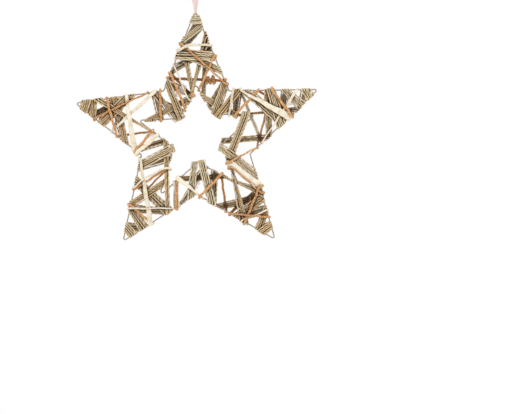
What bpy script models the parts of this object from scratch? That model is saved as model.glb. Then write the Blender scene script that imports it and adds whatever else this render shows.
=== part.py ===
# Hanging star ornament: two bent wire stars wound with glitter twine, rust yarn and cream wool.
# Metres, +Z up. The star hangs in the XZ plane, its front faces -Y, and the origin is the point
# inside the ribbon loop, just under the knot, where the loop hangs on its nail.

import math

import bmesh
import bpy
import numpy as np

MM = 0.001

# Wire stars
OUTER_TIP_RADIUS = 213.5 * MM
OUTER_NOTCH_RADIUS = 95 * MM
INNER_TIP_RADIUS = 103 * MM
INNER_NOTCH_RADIUS = 44 * MM
WIRE_DIAMETER = 2.2 * MM
BEND_RADIUS = 2.4 * MM
BEND_STEPS = 2
WIRE_SIDES = 6

# How each hand-bent corner strays from an even star, clockwise from the top tip:
# degrees turned to the left, and share of its even radius
OUTER_STRAY = [
    (1.0, 0.989), (1.6, 0.981), (3.5, 1.016), (0.1, 0.971), (1.2, 1.005),
    (-1.2, 1.002), (0.5, 1.002), (-0.2, 1.035), (2.5, 0.992), (0.3, 1.004),
]
INNER_STRAY = [
    (1.9, 0.851), (-0.8, 1.080), (3.1, 1.004), (0.6, 0.952), (4.9, 1.018),
    (1.4, 0.957), (3.2, 1.132), (6.5, 1.007), (2.2, 0.998), (8.7, 0.973),
]

# Strand thicknesses, and the usual widths where a strand states none of its own
TWINE_THICKNESS = 2.7 * MM
YARN_THICKNESS = 3.4 * MM
ROVING_THICKNESS = 3.0 * MM
BAND_WIDTH = 15.5 * MM
YARN_WIDTH = 4.2 * MM
ROVING_WIDTH = 7.0 * MM

# Room between strands and between turns, and how strands bend over each other
STRAND_GAP = 0.35 * MM
TURN_GAP = 0.2 * MM
TURN_SQUEEZE = 0.35
TURN_SHOULDER = 0.75
STEEPEST = 0.7
WIDEST_SPREAD = 1.5
CORNER_ROOM = 1.5 * MM
BARE_TIP = 8 * MM
WOOL_INSET = 0.22
SMOOTHING = 0.15 * MM
BOW_SHARES = (0.17, 0.33, 0.5, 0.67, 0.83)

# A turn slides up to this far along its wire to a lower place, and reaches around what crosses
LONGEST_SLIDE = 6 * MM
SLIDE_TRIES = 13
SLIDE_COST = 0.15
ROOM_SHARE = 0.99
FARTHEST_REACH = 9 * MM

# Grid on which the height already reached on each face is noted, and how finely it is read
CELL = 0.6 * MM
GRID_REACH = 1.12 * OUTER_TIP_RADIUS
WIRE_STEP = 0.5 * MM
PASS_STEP = 1.3 * MM
FEWEST_STEPS = 8
CROSSED_SAMPLES = 12
NEEDED_SAMPLES = 20
LAID_SAMPLES = 44

# Hanging ribbon, and its tails: x and y in mm, share of the length, share of the ribbon's width
RIBBON_WIDTH = 5.5 * MM
RIBBON_THICKNESS = 0.8 * MM
RIBBON_DROP = 82 * MM
RIBBON_STEPS = 2
KNOT_BASE = 3 * MM
KNOT_WIDTH = 9 * MM
KNOT_DEPTH = 7 * MM
KNOT_HEIGHT = 8 * MM
TAIL_BASE = KNOT_BASE + 0.7 * KNOT_HEIGHT
TAIL_LENGTH = 16 * MM
TAIL_SHAPE = [(1.2, 0.6, 0, 0.5), (3.0, 1.0, 0.5, 0.8), (6.5, 0.4, 1, 1)]
TAIL_STEPS = 3

FRONT, BACK = 1, -1

# Material, colour, roughness and metallic; then a strand's thickness and usual width
STEEL = ("steel wire", (0.16, 0.12, 0.11), 0.45, 1.0)
RIBBON = ("sheer ribbon", (0.85, 0.72, 0.68), 0.6, 0.0)
TWINE = ("glitter twine", (0.50, 0.38, 0.23), 0.55, 0.0, TWINE_THICKNESS, BAND_WIDTH)
YARN = ("rust yarn", (0.60, 0.26, 0.10), 0.95, 0.0, YARN_THICKNESS, YARN_WIDTH)
ROVING = ("cream wool", (0.85, 0.79, 0.62), 0.95, 0.0, ROVING_THICKNESS, ROVING_WIDTH)


def unit(vector):
    return vector / np.linalg.norm(vector)


def side_of(vector):
    return np.array((-vector[1], vector[0]))


def star_corners(tip_radius, notch_radius, stray):
    corners = []
    for step, (turned, share) in enumerate(stray):
        radius = (notch_radius if step % 2 else tip_radius) * share
        angle = math.radians(90 - 36 * step + turned)
        corners.append(radius * np.array((math.cos(angle), math.sin(angle))))
    return np.array(corners)


class Wire:
    """A closed wire star, and how far the turns wound around it reach on its two sides."""

    def __init__(self, corners):
        self.corners = corners
        legs = np.roll(corners, -1, axis=0) - corners
        self.lengths = np.linalg.norm(legs, axis=1)
        self.starts = np.concatenate(([0], np.cumsum(self.lengths)))
        cells = int(self.starts[-1] / CELL) + 2
        bare = WIRE_DIAMETER / 2 + TURN_GAP
        self.reach = {FRONT: np.full(cells, bare), BACK: np.full(cells, bare)}
        self.hooked = [0.0] * len(corners)

    def spot(self, place):
        corner = int(place) % len(self.corners)
        share = place - int(place)
        after = self.corners[(corner + 1) % len(self.corners)]
        point = self.corners[corner] + share * (after - self.corners[corner])
        return point, unit(after - self.corners[corner])

    def room(self, place):
        """How much of the leg there is from here to its nearer corner, or to a bare outer tip."""
        corner, past = self.nearest_corner(place)
        return abs(past) - (CORNER_ROOM if corner % 2 or self is inner else BARE_TIP)

    def nearest_corner(self, place):
        corner = round(place) % len(self.corners)
        leg = self.lengths[int(place) % len(self.corners)]
        return corner, (place - round(place)) * leg

    def inward(self, corner):
        before = self.corners[corner - 1]
        after = self.corners[(corner + 1) % len(self.corners)]
        here = self.corners[corner]
        into = unit(unit(before - here) + unit(after - here))
        return into if corner % 2 == 0 else -into

    def half_angle(self, corner):
        leg = unit(self.corners[(corner + 1) % len(self.corners)] - self.corners[corner])
        return math.acos(abs(float(np.dot(leg, self.inward(corner)))))

    def cells_around(self, place, half):
        leg = int(place) % len(self.corners)
        middle = self.starts[leg] + (place - int(place)) * self.lengths[leg]
        first = int((middle - half) / CELL) - 1
        last = int((middle + half) / CELL) + 1
        return np.arange(first, last + 1) % (len(self.reach[FRONT]) - 1)

    def rounded(self):
        """The centre line, with an arc at every corner."""
        points = []
        for corner, here in enumerate(self.corners):
            half = self.half_angle(corner)
            to_before = unit(self.corners[corner - 1] - here)
            to_after = unit(self.corners[(corner + 1) % len(self.corners)] - here)
            into = unit(to_before + to_after)
            centre = here + into * BEND_RADIUS / math.sin(half)
            swing = math.pi / 2 - half
            across = unit(to_after - to_before)
            for step in range(-BEND_STEPS, BEND_STEPS + 1):
                turn = swing * step / BEND_STEPS
                arc = across * math.sin(turn) - into * math.cos(turn)
                points.append(centre + BEND_RADIUS * arc)
        return np.array(points)


class HeightMap:
    """The height that the strands and wires already reach over each cell, on one face."""

    def __init__(self):
        cells = int(2 * GRID_REACH / CELL) + 4
        self.top = np.full((cells, cells), -1.0)

    def cells(self, points):
        return ((points + GRID_REACH) / CELL).astype(int) + 1

    def at(self, points):
        rows, columns = self.cells(points).reshape(-1, 2).T
        return self.top[rows, columns]

    def under(self, points):
        rows, columns = self.cells(points).reshape(-1, 2).T
        around = [(i, j) for i in (-1, 0, 1) for j in (-1, 0, 1)]
        return max(self.top[rows + i, columns + j].max() for i, j in around)

    def lay(self, points, heights):
        rows, columns = self.cells(points).reshape(-1, 2).T
        np.maximum.at(self.top, (rows, columns), heights)


class Turn:
    """Where a strand goes around a wire: its line across the strand, and its way round."""

    def __init__(self, wire, place, width, thickness, arriving, leaving):
        self.thickness = thickness * TURN_SQUEEZE
        corner, past = wire.nearest_corner(place)
        if wire is inner and past == 0 and corner % 2 == 0:
            self.hook(wire, corner, width)
        elif wire is inner and corner % 2 and abs(past) < width / 2 + CORNER_ROOM:
            self.round_notch(wire, corner, past, place, width)
        else:
            self.round_leg(wire, place, width, arriving, leaving)

    def hook(self, wire, corner, width):
        """Under the point of an inner tip, as deep as the strand fits between the two legs."""
        half = wire.half_angle(corner)
        room = (WIRE_DIAMETER / 2 + TURN_GAP) / math.cos(half)
        depth = (width / 2 + room) / math.tan(half)
        depth = max(depth, wire.hooked[corner]) + self.thickness / 2
        wire.hooked[corner] = depth + self.thickness / 2 + STRAND_GAP
        self.outward = wire.inward(corner)
        self.owner = (wire, corner)
        self.reach = WIRE_DIAMETER / 2 + TURN_GAP + self.thickness / 2
        point = wire.corners[corner] + self.outward * (depth - self.reach)
        self.set_edges(point, side_of(self.outward), width / 2)

    def round_notch(self, wire, corner, past, place, width):
        """Over the point of an inner notch, square to the line that halves it."""
        self.outward = wire.inward(corner)
        along = side_of(self.outward)
        along = along if np.dot(along, wire.spot(place)[1]) > 0 else -along
        self.set_edges(wire.corners[corner] + along * past, along, width / 2)
        self.owner = (wire, FRONT)
        self.stack_on(wire, place, width / 2)

    def round_leg(self, wire, place, width, arriving, leaving):
        """Around a straight leg, at the lowest free place near the one asked for."""
        along = wire.spot(place)[1]
        ways = [way for way in (arriving, leaving) if way is not None]
        lean = np.mean([abs(float(np.dot(side_of(along), way))) for way in ways])
        half = width / 2 / max(lean, 1 / WIDEST_SPREAD)
        half = min(half, wire.room(place))
        travel = sum(ways) if leaving is None else -leaving + (0 if arriving is None else arriving)
        outward = side_of(along)
        self.outward = outward if np.dot(outward, travel) > 0 else -outward
        centreward = np.dot(self.outward, wire.inward(wire.nearest_corner(place)[0])) > 0
        self.owner = (wire, FRONT if centreward else BACK)
        leg = wire.lengths[int(place) % len(wire.corners)]
        choices = []
        for slide in np.linspace(-LONGEST_SLIDE, LONGEST_SLIDE, SLIDE_TRIES):
            tried = place + slide / leg
            if int(tried) == int(place) and wire.room(tried) > ROOM_SHARE * half:
                self.set_edges(wire.spot(tried)[0], along, half)
                inside = max(self.stacked(wire, tried, half), self.crossed())
                choices.append((inside + SLIDE_COST * abs(slide), tried))
        place = min(choices)[1] if choices else place
        self.set_edges(wire.spot(place)[0], along, half)
        self.stack_on(wire, place, half)

    def set_edges(self, point, along, half):
        self.edges = np.array((point - along * half, point + along * half))

    def line(self, count, out=0.0):
        shares = np.linspace(0, 1, count)
        return self.edges[0] + np.outer(shares, self.edges[1] - self.edges[0]) + self.outward * out

    def stacked(self, wire, place, half):
        return wire.reach[self.owner[1]][wire.cells_around(place, half)].max()

    def crossed(self):
        """How far beyond the wire the passes that cross it here reach, and turns of other wires."""
        reach = 0.0
        for out in np.arange(0, FARTHEST_REACH, CELL):
            line = self.line(CROSSED_SAMPLES, out)
            rows, columns = maps[FRONT].cells(line).T
            others = [owners.get(cell, self.owner) != self.owner for cell in zip(rows, columns)]
            if crossings.at(line).max() > 0 or any(others):
                reach = out + CELL + STRAND_GAP
        return reach

    def stack_on(self, wire, place, half):
        inside = max(self.stacked(wire, place, half), self.crossed())
        cells = wire.cells_around(place, half)
        wire.reach[self.owner[1]][cells] = inside + self.thickness + TURN_GAP
        self.reach = inside + self.thickness / 2

    def fall(self, out):
        """The share of its height that a turn keeps this far beyond the wire's centre."""
        return 1 - (1 - TURN_SHOULDER) * out / self.reach

    def height_needed(self, face):
        """High enough over the wire for the turn's slope to clear all that lies beside it."""
        room = STRAND_GAP + self.thickness / 2
        needed = []
        for out in np.arange(0, self.reach - self.thickness / 2, CELL):
            beside = maps[face].under(self.line(NEEDED_SAMPLES, out))
            needed.append((beside + room) / self.fall(out))
        return max(needed)

    def sections(self, heights, first_face):
        """Sections from one face to the other: edges, height, thickness and the way outwards."""
        made = []
        beyond = self.edges + self.outward * self.reach
        still = np.zeros(2)
        for face in (first_face, -first_face):
            over = (self.edges, heights[face] * face, self.thickness, still, face)
            side = (beyond, heights[face] * TURN_SHOULDER * face, self.thickness, self.outward, face)
            made += [over, side] if face == first_face else [side, over]
        return made

    def lay(self, heights):
        for out in np.arange(0, self.reach + self.thickness / 2, CELL / 2):
            line = self.line(LAID_SAMPLES, out)
            for face in (FRONT, BACK):
                maps[face].lay(line, heights[face] * self.fall(out) + self.thickness / 2)
            for cell in maps[FRONT].cells(line):
                owners[tuple(cell)] = self.owner


def across(start, end, share, bow):
    """Both edges of a pass at a share of its length, bowed sideways in the middle."""
    edges = start + (end - start) * share
    run = (end - start).mean(axis=0)
    return edges + side_of(unit(run)) * bow * 4 * share * (1 - share)


def tight_heights(face, first, last, thickness, bow):
    """Shares along a pass and its heights there, pulled tight over all that lies under it."""
    start, end = first.edges, last.edges
    length = np.linalg.norm((end - start).mean(axis=0))
    steps = max(FEWEST_STEPS, int(length / PASS_STEP))
    shares = np.linspace(0, 1, steps + 1)
    spread = np.linspace(0, 1, NEEDED_SAMPLES)[:, None]
    needed = np.empty(steps + 1)
    for index, share in enumerate(shares):
        left, right = across(start, end, share, bow)
        needed[index] = maps[face].under(left + (right - left) * spread)
    needed = np.where(needed > 0, needed, -1.0) + STRAND_GAP + thickness / 2
    over_wire = WIRE_DIAMETER / 2 + STRAND_GAP + thickness / 2
    fall = STEEPEST * length * shares
    needed[0] = max(over_wire, first.height_needed(face), (needed - fall).max())
    needed[-1] = max(over_wire, last.height_needed(face), (needed - fall[::-1]).max())
    kept = [0]
    for index in range(1, steps + 1):
        while len(kept) > 1 and is_below(kept[-2], kept[-1], index, shares, needed):
            kept.pop()
        kept.append(index)
    return smoothed(kept, shares, needed)


def is_below(first, middle, last, shares, needed):
    """Whether the middle point lies on or under the straight line between its neighbours."""
    share = (shares[middle] - shares[first]) / (shares[last] - shares[first])
    return needed[middle] <= needed[first] + share * (needed[last] - needed[first])


def smoothed(kept, shares, needed):
    """Leaves out the points whose loss lowers the strand by no more than SMOOTHING."""
    kept = list(kept)
    index = 1
    while index < len(kept) - 1:
        before, here, after = kept[index - 1:index + 2]
        share = (shares[here] - shares[before]) / (shares[after] - shares[before])
        drop = needed[here] - needed[before] - share * (needed[after] - needed[before])
        if drop < SMOOTHING:
            kept.pop(index)
        else:
            index += 1
    return shares[kept], needed[kept]


def lay_pass(face, start, end, shares, heights, thickness, bow):
    length = np.linalg.norm((end - start).mean(axis=0))
    spread = np.linspace(0, 1, LAID_SAMPLES)[:, None]
    for share in np.linspace(0, 1, int(2 * length / CELL) + 2):
        left, right = across(start, end, share, bow)
        height = np.interp(share, shares, heights) + thickness / 2
        maps[face].lay(left + (right - left) * spread, height)
        crossings.lay(left + (right - left) * spread, height)


def strand(name, kind, first_face, *route):
    """One length wound from place to place: a pass over one face, a turn, a pass over the other."""
    thickness, usual_width = kind[4:]
    route = [place + (usual_width / MM, 0)[len(place) - 2:] for place in route]
    points = [wire.spot(place)[0] for wire, place, width, bow in route]
    ways = [unit(after - before) for before, after in zip(points, points[1:])]
    turns = []
    for index, (wire, place, width, bow) in enumerate(route):
        arriving = ways[index - 1] if index else None
        leaving = ways[index] if index < len(ways) else None
        turn = Turn(wire, place, width * MM, thickness, arriving, leaving)
        if turns and is_crossed(turns[-1].edges, turn.edges):
            turn.edges = turn.edges[::-1]
        turns.append(turn)
    face = first_face
    heights = {-face: turns[0].height_needed(-face)}
    sections = []
    for index, turn in enumerate(turns):
        if index < len(turns) - 1:
            bow = route[index][3] * MM
            start, end = turn.edges, turns[index + 1].edges
            shares, levels = tight_heights(face, turn, turns[index + 1], thickness, bow)
            heights[face] = levels[0]
        else:
            heights[face] = turn.height_needed(face)
        sections += turn.sections(heights, -face)
        turn.lay(heights)
        if index < len(turns) - 1:
            lay_pass(face, start, end, shares, levels, thickness, bow)
            for share in sorted(set(shares[1:-1]) | set(BOW_SHARES if bow else ())):
                height = np.interp(share, shares, levels) * face
                edges = across(start, end, share, bow)
                sections.append((edges, height, thickness, np.zeros(2), face))
            heights = {face: levels[-1]}
            face = -face
    add_solid(name, kind, [outline(section, kind) for section in sections])


def is_crossed(start, end):
    """Whether the edges of a pass between these two lines would cross each other."""
    across_run = side_of((end - start).mean(axis=0))
    return np.dot(start[1] - start[0], across_run) * np.dot(end[1] - end[0], across_run) < 0


def outline(section, kind):
    """The strand's cross-section: flat for twine, six-sided for the rounder wool."""
    (left, right), height, thickness, beside, up = section
    if kind is TWINE:
        corners = [(left, 1), (right, 1), (right, -1), (left, -1)]
    else:
        inset = (right - left) * WOOL_INSET
        near, far = left + inset, right - inset
        corners = [(left, 0), (near, 1), (far, 1), (right, 0), (far, -1), (near, -1)]
    return [
        world(plan + beside * thickness / 2 * level, height + up * thickness / 2 * level)
        for plan, level in corners
    ]


def world(plan, height):
    """From the star's own plane, with the front upwards, to the hanging part."""
    return (plan[0] - TIP[0], -height, plan[1] - TIP[1] - RIBBON_DROP)


def add_object(name, mesh, kind):
    label, colour, roughness, metallic = kind[:4]
    finish = bpy.data.materials.new(name + " " + label)
    finish.use_nodes = True
    shader = finish.node_tree.nodes["Principled BSDF"]
    shader.inputs["Base Color"].default_value = (*colour, 1.0)
    shader.inputs["Roughness"].default_value = roughness
    shader.inputs["Metallic"].default_value = metallic
    mesh.materials.append(finish)
    made = bpy.data.objects.new(name, mesh)
    bpy.context.scene.collection.objects.link(made)
    return made


def add_solid(name, kind, rings, closed=False):
    """A solid through rings of points, capped at both ends or joined into a loop."""
    shape = bmesh.new()
    loops = [[shape.verts.new(point) for point in ring] for ring in rings]
    pairs = list(zip(loops, loops[1:]))
    if closed:
        pairs.append((loops[-1], loops[0]))
    else:
        shape.faces.new(loops[0][::-1])
        shape.faces.new(loops[-1])
    for first, second in pairs:
        for corner in range(len(first)):
            after = (corner + 1) % len(first)
            shape.faces.new((first[corner], first[after], second[after], second[corner]))
    if shape.calc_volume(signed=True) < 0:
        bmesh.ops.reverse_faces(shape, faces=shape.faces)
    mesh = bpy.data.meshes.new(name)
    shape.to_mesh(mesh)
    shape.free()
    return add_object(name, mesh, kind)


def add_wire(name, wire):
    """The round wire along the rounded star, and its place on both height maps."""
    line = wire.rounded()
    radius = WIRE_DIAMETER / 2
    rings = []
    for index, here in enumerate(line):
        before, after = line[index - 1], line[(index + 1) % len(line)]
        aside = side_of(unit(unit(here - before) + unit(after - here)))
        ring = []
        for side in range(WIRE_SIDES):
            angle = 2 * math.pi * (side + 0.5) / WIRE_SIDES
            ring.append(world(here + aside * radius * math.cos(angle), radius * math.sin(angle)))
        rings.append(ring)
        length = np.linalg.norm(after - here)
        for share in np.linspace(0, 1, int(length / WIRE_STEP) + 2):
            for offset in (-1, -0.5, 0, 0.5, 1):
                spot = here + (after - here) * share + aside * radius * offset
                for face in (FRONT, BACK):
                    maps[face].lay(spot, radius)
    add_solid(name, STEEL, rings, closed=True)


def smooth_curve(points, steps):
    """A smooth line through the points, with a few steps between each two of them."""
    line = []
    for index in range(len(points) - 1):
        previous = points[max(index - 1, 0)]
        here, after = points[index], points[index + 1]
        beyond = points[min(index + 2, len(points) - 1)]
        for step in range(steps):
            t = step / steps
            line.append(0.5 * (
                2 * here + (after - previous) * t
                + (2 * previous - 5 * here + 4 * after - beyond) * t * t
                + (3 * here - previous - 3 * after + beyond) * t ** 3
            ))
    line.append(points[-1])
    return line


def ribbon_strip(name, points, steps):
    """A flat ribbon through points of x, y, z and width; its width lies along X."""
    line = smooth_curve([np.array(point) for point in points], steps)
    rings = []
    for index, (x, y, z, width) in enumerate(line):
        before = line[max(index - 1, 0)]
        after = line[min(index + 1, len(line) - 1)]
        run = unit(np.array((after[1] - before[1], after[2] - before[2])))
        thick = side_of(run) * RIBBON_THICKNESS / 2
        corners = [(-1, 1), (1, 1), (1, -1), (-1, -1)]
        rings.append([(x + width / 2 * a, y + thick[0] * b, z + thick[1] * b) for a, b in corners])
    return add_solid(name, RIBBON, rings)


def add_knot():
    """The knot over the loop, with its two short tails joined on."""
    shape = bmesh.new()
    bmesh.ops.create_icosphere(shape, subdivisions=1, radius=0.5)
    size = (KNOT_WIDTH, KNOT_DEPTH, KNOT_HEIGHT)
    bmesh.ops.scale(shape, vec=size, verts=shape.verts)
    bmesh.ops.translate(shape, vec=(0, 0, KNOT_BASE + KNOT_HEIGHT / 2), verts=shape.verts)
    mesh = bpy.data.meshes.new("ribbon_knot")
    shape.to_mesh(mesh)
    shape.free()
    knot = add_object("ribbon_knot", mesh, RIBBON)
    for side in (-MM, MM):
        tail = [
            (side * x, side * y, TAIL_BASE + TAIL_LENGTH * rise, RIBBON_WIDTH * share)
            for x, y, rise, share in TAIL_SHAPE
        ]
        cutter = ribbon_strip("ribbon_tail", tail, TAIL_STEPS)
        cutter.hide_render = True
        cutter.display_type = "WIRE"
        union = knot.modifiers.new("tail", "BOOLEAN")
        union.operation = "UNION"
        union.object = cutter


for leftover in list(bpy.data.objects):
    bpy.data.objects.remove(leftover, do_unlink=True)

outer = Wire(star_corners(OUTER_TIP_RADIUS, OUTER_NOTCH_RADIUS, OUTER_STRAY))
inner = Wire(star_corners(INNER_TIP_RADIUS, INNER_NOTCH_RADIUS, INNER_STRAY))
maps = {FRONT: HeightMap(), BACK: HeightMap()}
crossings = HeightMap()
owners = {}

# The top of the bare wire tip that the ribbon hangs on
TIP_ROUNDING = BEND_RADIUS / math.sin(outer.half_angle(0)) - BEND_RADIUS - WIRE_DIAMETER / 2
TIP = outer.corners[0] - np.array((0, TIP_ROUNDING))

add_wire("outer_wire", outer)
add_wire("inner_wire", inner)

# Twine windings and straps, lowest first. A place on a wire is the number of the corner before it,
# clockwise from the top, and the share of the leg after that corner. Width and sideways bow in mm.
strand("top_arm_low_glitter_band", TWINE, BACK, (outer, 9.24, 12), (outer, 0.46, 12))
strand("top_arm_twine_vee", TWINE, FRONT,
       (outer, 9.60, 12), (inner, 9.79, 8), (outer, 0.34, 15), (inner, 9.73, 9))
strand("top_arm_glitter_winding", TWINE, FRONT,
       (outer, 0.75, 13), (outer, 9.48, 13), (outer, 0.54, 16), (outer, 9.45, 16),
       (outer, 0.22, 11), (outer, 9.62, 12), (outer, 0.115, 18), (outer, 9.88, 18))
strand("left_arm_glitter_winding", TWINE, FRONT,
       (outer, 7.25), (outer, 8.44), (outer, 7.60, 17.5), (outer, 8.62, 18.5),
       (outer, 7.70, 14.5), (outer, 8.20, 14.5), (outer, 7.87, 17), (outer, 8.125, 18))
strand("lower_left_arm_glitter_winding", TWINE, FRONT,
       (outer, 6.70), (outer, 5.38), (outer, 6.38, 13), (outer, 5.72, 15.5),
       (outer, 6.16, 17), (outer, 5.87, 17))
strand("lower_right_arm_glitter_winding", TWINE, BACK,
       (outer, 4.72, 12), (outer, 3.51, 17.5), (outer, 4.48, 17.5), (outer, 3.63, 14.5),
       (outer, 4.21, 14.5), (outer, 3.835, 16), (outer, 4.165, 16))
strand("right_arm_upright_glitter_band", TWINE, FRONT, (outer, 1.43, 13), (outer, 2.72, 12))
strand("right_arm_glitter_winding", TWINE, FRONT,
       (outer, 1.19, 16), (outer, 2.52, 16), (outer, 1.47, 14.5), (outer, 2.55, 14.5),
       (outer, 1.63, 13), (outer, 2.25, 14.5), (outer, 1.86, 17), (outer, 2.13, 17))
strand("top_arm_back_glitter_band", TWINE, BACK, (outer, 0.30, 10), (inner, 0.40, 10))
strand("top_notch_glitter_band", TWINE, FRONT, (inner, 0.42, 13), (inner, 1.50, 14.5))
strand("left_tip_glitter_band", TWINE, FRONT, (outer, 8.25, 12), (inner, 7.54, 12))
strand("lower_left_glitter_band", TWINE, FRONT, (outer, 6.42, 13), (inner, 6.26, 12))
strand("lower_left_long_glitter_band", TWINE, FRONT, (inner, 7.22, 9), (outer, 5.39, 9))
strand("lower_right_inner_glitter_band", TWINE, FRONT, (outer, 3.45, 13), (inner, 4.24, 13))
strand("lower_right_glitter_band", TWINE, FRONT, (inner, 3.62, 15), (outer, 4.39, 15))
strand("right_arm_back_glitter_band", TWINE, BACK, (outer, 2.30, 10), (inner, 1.62, 10))
strand("right_elbow_glitter_band", TWINE, BACK, (inner, 2.92, 11), (outer, 2.74, 11))
strand("bottom_left_glitter_band", TWINE, BACK, (inner, 4.82, 12), (outer, 5.20, 12))
strand("bottom_back_glitter_band", TWINE, BACK, (inner, 5.50, 12), (inner, 4.35, 12))
strand("left_arm_back_glitter_band", TWINE, BACK, (outer, 7.12, 12), (inner, 7.25, 11))
strand("top_elbow_glitter_strap", TWINE, FRONT, (inner, 1.0), (outer, 0.86), (inner, 0.72, 12))
strand("left_upper_elbow_glitter_strap", TWINE, FRONT,
       (inner, 8.94, 13), (outer, 8.90, 13), (inner, 8.55, 12))
strand("left_notch_glitter_band", TWINE, FRONT, (inner, 8.28, 14), (inner, 9.56, 13))
strand("top_left_elbow_glitter_strap", TWINE, FRONT,
       (inner, 9.06, 14.5), (outer, 9.13, 14.5), (inner, 9.70, 10))
strand("left_lower_elbow_glitter_strap", TWINE, FRONT,
       (inner, 7.0, 15.5), (outer, 6.87, 15.5), (inner, 6.80, 13))
strand("bottom_left_elbow_glitter_strap", TWINE, FRONT, (inner, 5.07, 12), (outer, 5.09, 12))
strand("bottom_right_elbow_glitter_strap", TWINE, FRONT,
       (inner, 4.92, 13), (outer, 4.80, 15), (inner, 4.58, 12))
strand("right_lower_glitter_strap", TWINE, FRONT, (inner, 1.86, 16), (inner, 3.46, 15))
strand("right_upper_elbow_glitter_strap", TWINE, FRONT,
       (inner, 1.10, 14.5), (outer, 1.10, 14.5), (inner, 1.60, 12))
strand("right_lower_elbow_glitter_strap", TWINE, FRONT, (inner, 3.07), (outer, 3.24))

# Wool over the twine
strand("top_arm_thin_rust_yarn", YARN, FRONT, (outer, 0.57, 4), (inner, 0.18, 4))
strand("top_arm_long_rust_yarn", YARN, FRONT, (outer, 9.58), (outer, 0.92))
strand("top_arm_cream_yarn", ROVING, FRONT,
       (outer, 9.50, 5.5, 5), (outer, 0.44, 4), (outer, 9.32, 2.5), (inner, 9.55, 2.5))
strand("top_arm_back_rust_coil", YARN, BACK, (outer, 9.16, 5), (outer, 0.88, 5))
strand("top_left_elbow_rust_yarn", YARN, BACK, (inner, 9.72), (outer, 9.22), (inner, 9.38))
strand("left_arm_cream_roving", ROVING, FRONT,
       (outer, 8.90, 7), (outer, 7.45, 4), (outer, 8.58, 5), (outer, 7.10, 9.5))
strand("left_arm_low_rust_yarn", YARN, FRONT, (outer, 7.70), (outer, 8.82), (inner, 9.25))
strand("left_arm_crossing_rust_yarn", YARN, FRONT,
       (outer, 8.40), (outer, 7.33), (inner, 7.60), (outer, 7.08))
strand("left_elbow_rust_yarn", YARN, FRONT, (outer, 8.93), (inner, 8.55))
strand("left_lower_cream_roving", ROVING, FRONT, (inner, 7.45, 6), (outer, 7.05, 6))
strand("lower_left_rust_yarn", YARN, FRONT,
       (outer, 5.62), (outer, 6.42), (inner, 6.50), (outer, 6.60))
strand("lower_left_thick_cream_roving", ROVING, FRONT, (outer, 6.95, 7), (outer, 5.62, 9))
strand("lower_left_cream_arc", ROVING, FRONT, (outer, 6.62, 3, 4), (inner, 6.58, 3))
strand("lower_left_thin_cream_yarn", ROVING, FRONT,
       (outer, 6.42, 3), (outer, 5.30, 3), (inner, 5.68, 5), (outer, 5.24, 5))
strand("lower_left_short_rust_yarn", YARN, FRONT, (inner, 5.58), (outer, 5.28))
strand("bottom_cream_roving", ROVING, FRONT, (inner, 5.50, 9), (outer, 4.91, 8))
strand("bottom_rust_yarn", YARN, FRONT, (outer, 4.95), (inner, 4.43), (outer, 4.62))
strand("lower_right_cream_roving", ROVING, FRONT,
       (inner, 3.47, 11), (outer, 3.37, 11), (outer, 4.42, 3), (outer, 3.66, 3))
strand("lower_right_rust_yarn", YARN, FRONT,
       (inner, 3.57, 3.5), (outer, 3.42, 3.5), (outer, 4.40), (outer, 3.38), (outer, 4.57),
       (outer, 3.70))
strand("right_arm_thin_cream_yarn", ROVING, FRONT, (outer, 1.05, 4), (inner, 1.45, 4))
strand("right_arm_short_rust_yarn", YARN, FRONT, (inner, 1.52), (outer, 1.33), (outer, 2.37))
strand("right_arm_cream_roving", ROVING, FRONT,
       (outer, 1.77, 5.5), (outer, 2.80, 4), (outer, 1.13, 4), (outer, 2.47, 13, 5))
strand("right_arm_crossing_rust_yarn", YARN, FRONT,
       (outer, 2.40), (outer, 1.48), (outer, 2.90), (inner, 3.45))

# Ribbon points in mm from the hanging point: x, y, z and width, down the front and up the back
down = [
    (-1.7, -1.3, 2.7, 4.6), (-2.0, -1.4, -3, 5.0), (-2.6, -1.5, -10, 5.5), (-3.2, -1.6, -20, 5.5),
    (-3.6, -1.7, -32, 5.5), (-3.5, -1.8, -44, 5.5), (-3.0, -2.0, -56, 5.3), (-2.2, -2.5, -67, 4.8),
    (-1.2, -2.9, -75, 4.0), (-0.5, -3.0, -81, 3.2), (-0.2, -2.5, -84.8, 3.0), (0, -1.3, -86.8, 3.0),
]
bottom = [(0, 0, -87.2, 3.0)]
up = [(-x, -y, z, width) for x, y, z, width in reversed(down)]
loop = [np.array(point) * MM for point in down + bottom + up]
ribbon_strip("hanging_ribbon", loop, RIBBON_STEPS)
add_knot()
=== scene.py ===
# Hanging star ornament: two bent wire stars wound with glitter twine, rust yarn and cream wool, on a sheer
# ribbon. The strands are wound again here by the rules that laid their solids, so each one lies in its solid.
# Metres, +Z up, the front faces -Y, and the origin is the hanging point inside the ribbon loop.

import math

import bmesh
import bpy
import numpy as np
from mathutils import Matrix, Vector

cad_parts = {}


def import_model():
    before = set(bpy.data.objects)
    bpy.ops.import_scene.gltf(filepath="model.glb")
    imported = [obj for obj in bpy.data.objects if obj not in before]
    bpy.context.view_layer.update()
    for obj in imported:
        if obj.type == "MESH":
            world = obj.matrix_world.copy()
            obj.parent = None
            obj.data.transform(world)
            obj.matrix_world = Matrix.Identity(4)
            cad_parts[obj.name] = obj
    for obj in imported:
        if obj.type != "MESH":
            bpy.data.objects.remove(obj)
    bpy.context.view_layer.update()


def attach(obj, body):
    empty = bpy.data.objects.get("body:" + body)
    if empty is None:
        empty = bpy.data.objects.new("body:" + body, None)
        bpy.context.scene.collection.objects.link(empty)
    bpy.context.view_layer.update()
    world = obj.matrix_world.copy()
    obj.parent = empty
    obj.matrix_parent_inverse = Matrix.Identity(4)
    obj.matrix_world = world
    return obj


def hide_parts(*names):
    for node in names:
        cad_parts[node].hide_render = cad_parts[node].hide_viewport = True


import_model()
mm = 0.001
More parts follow.
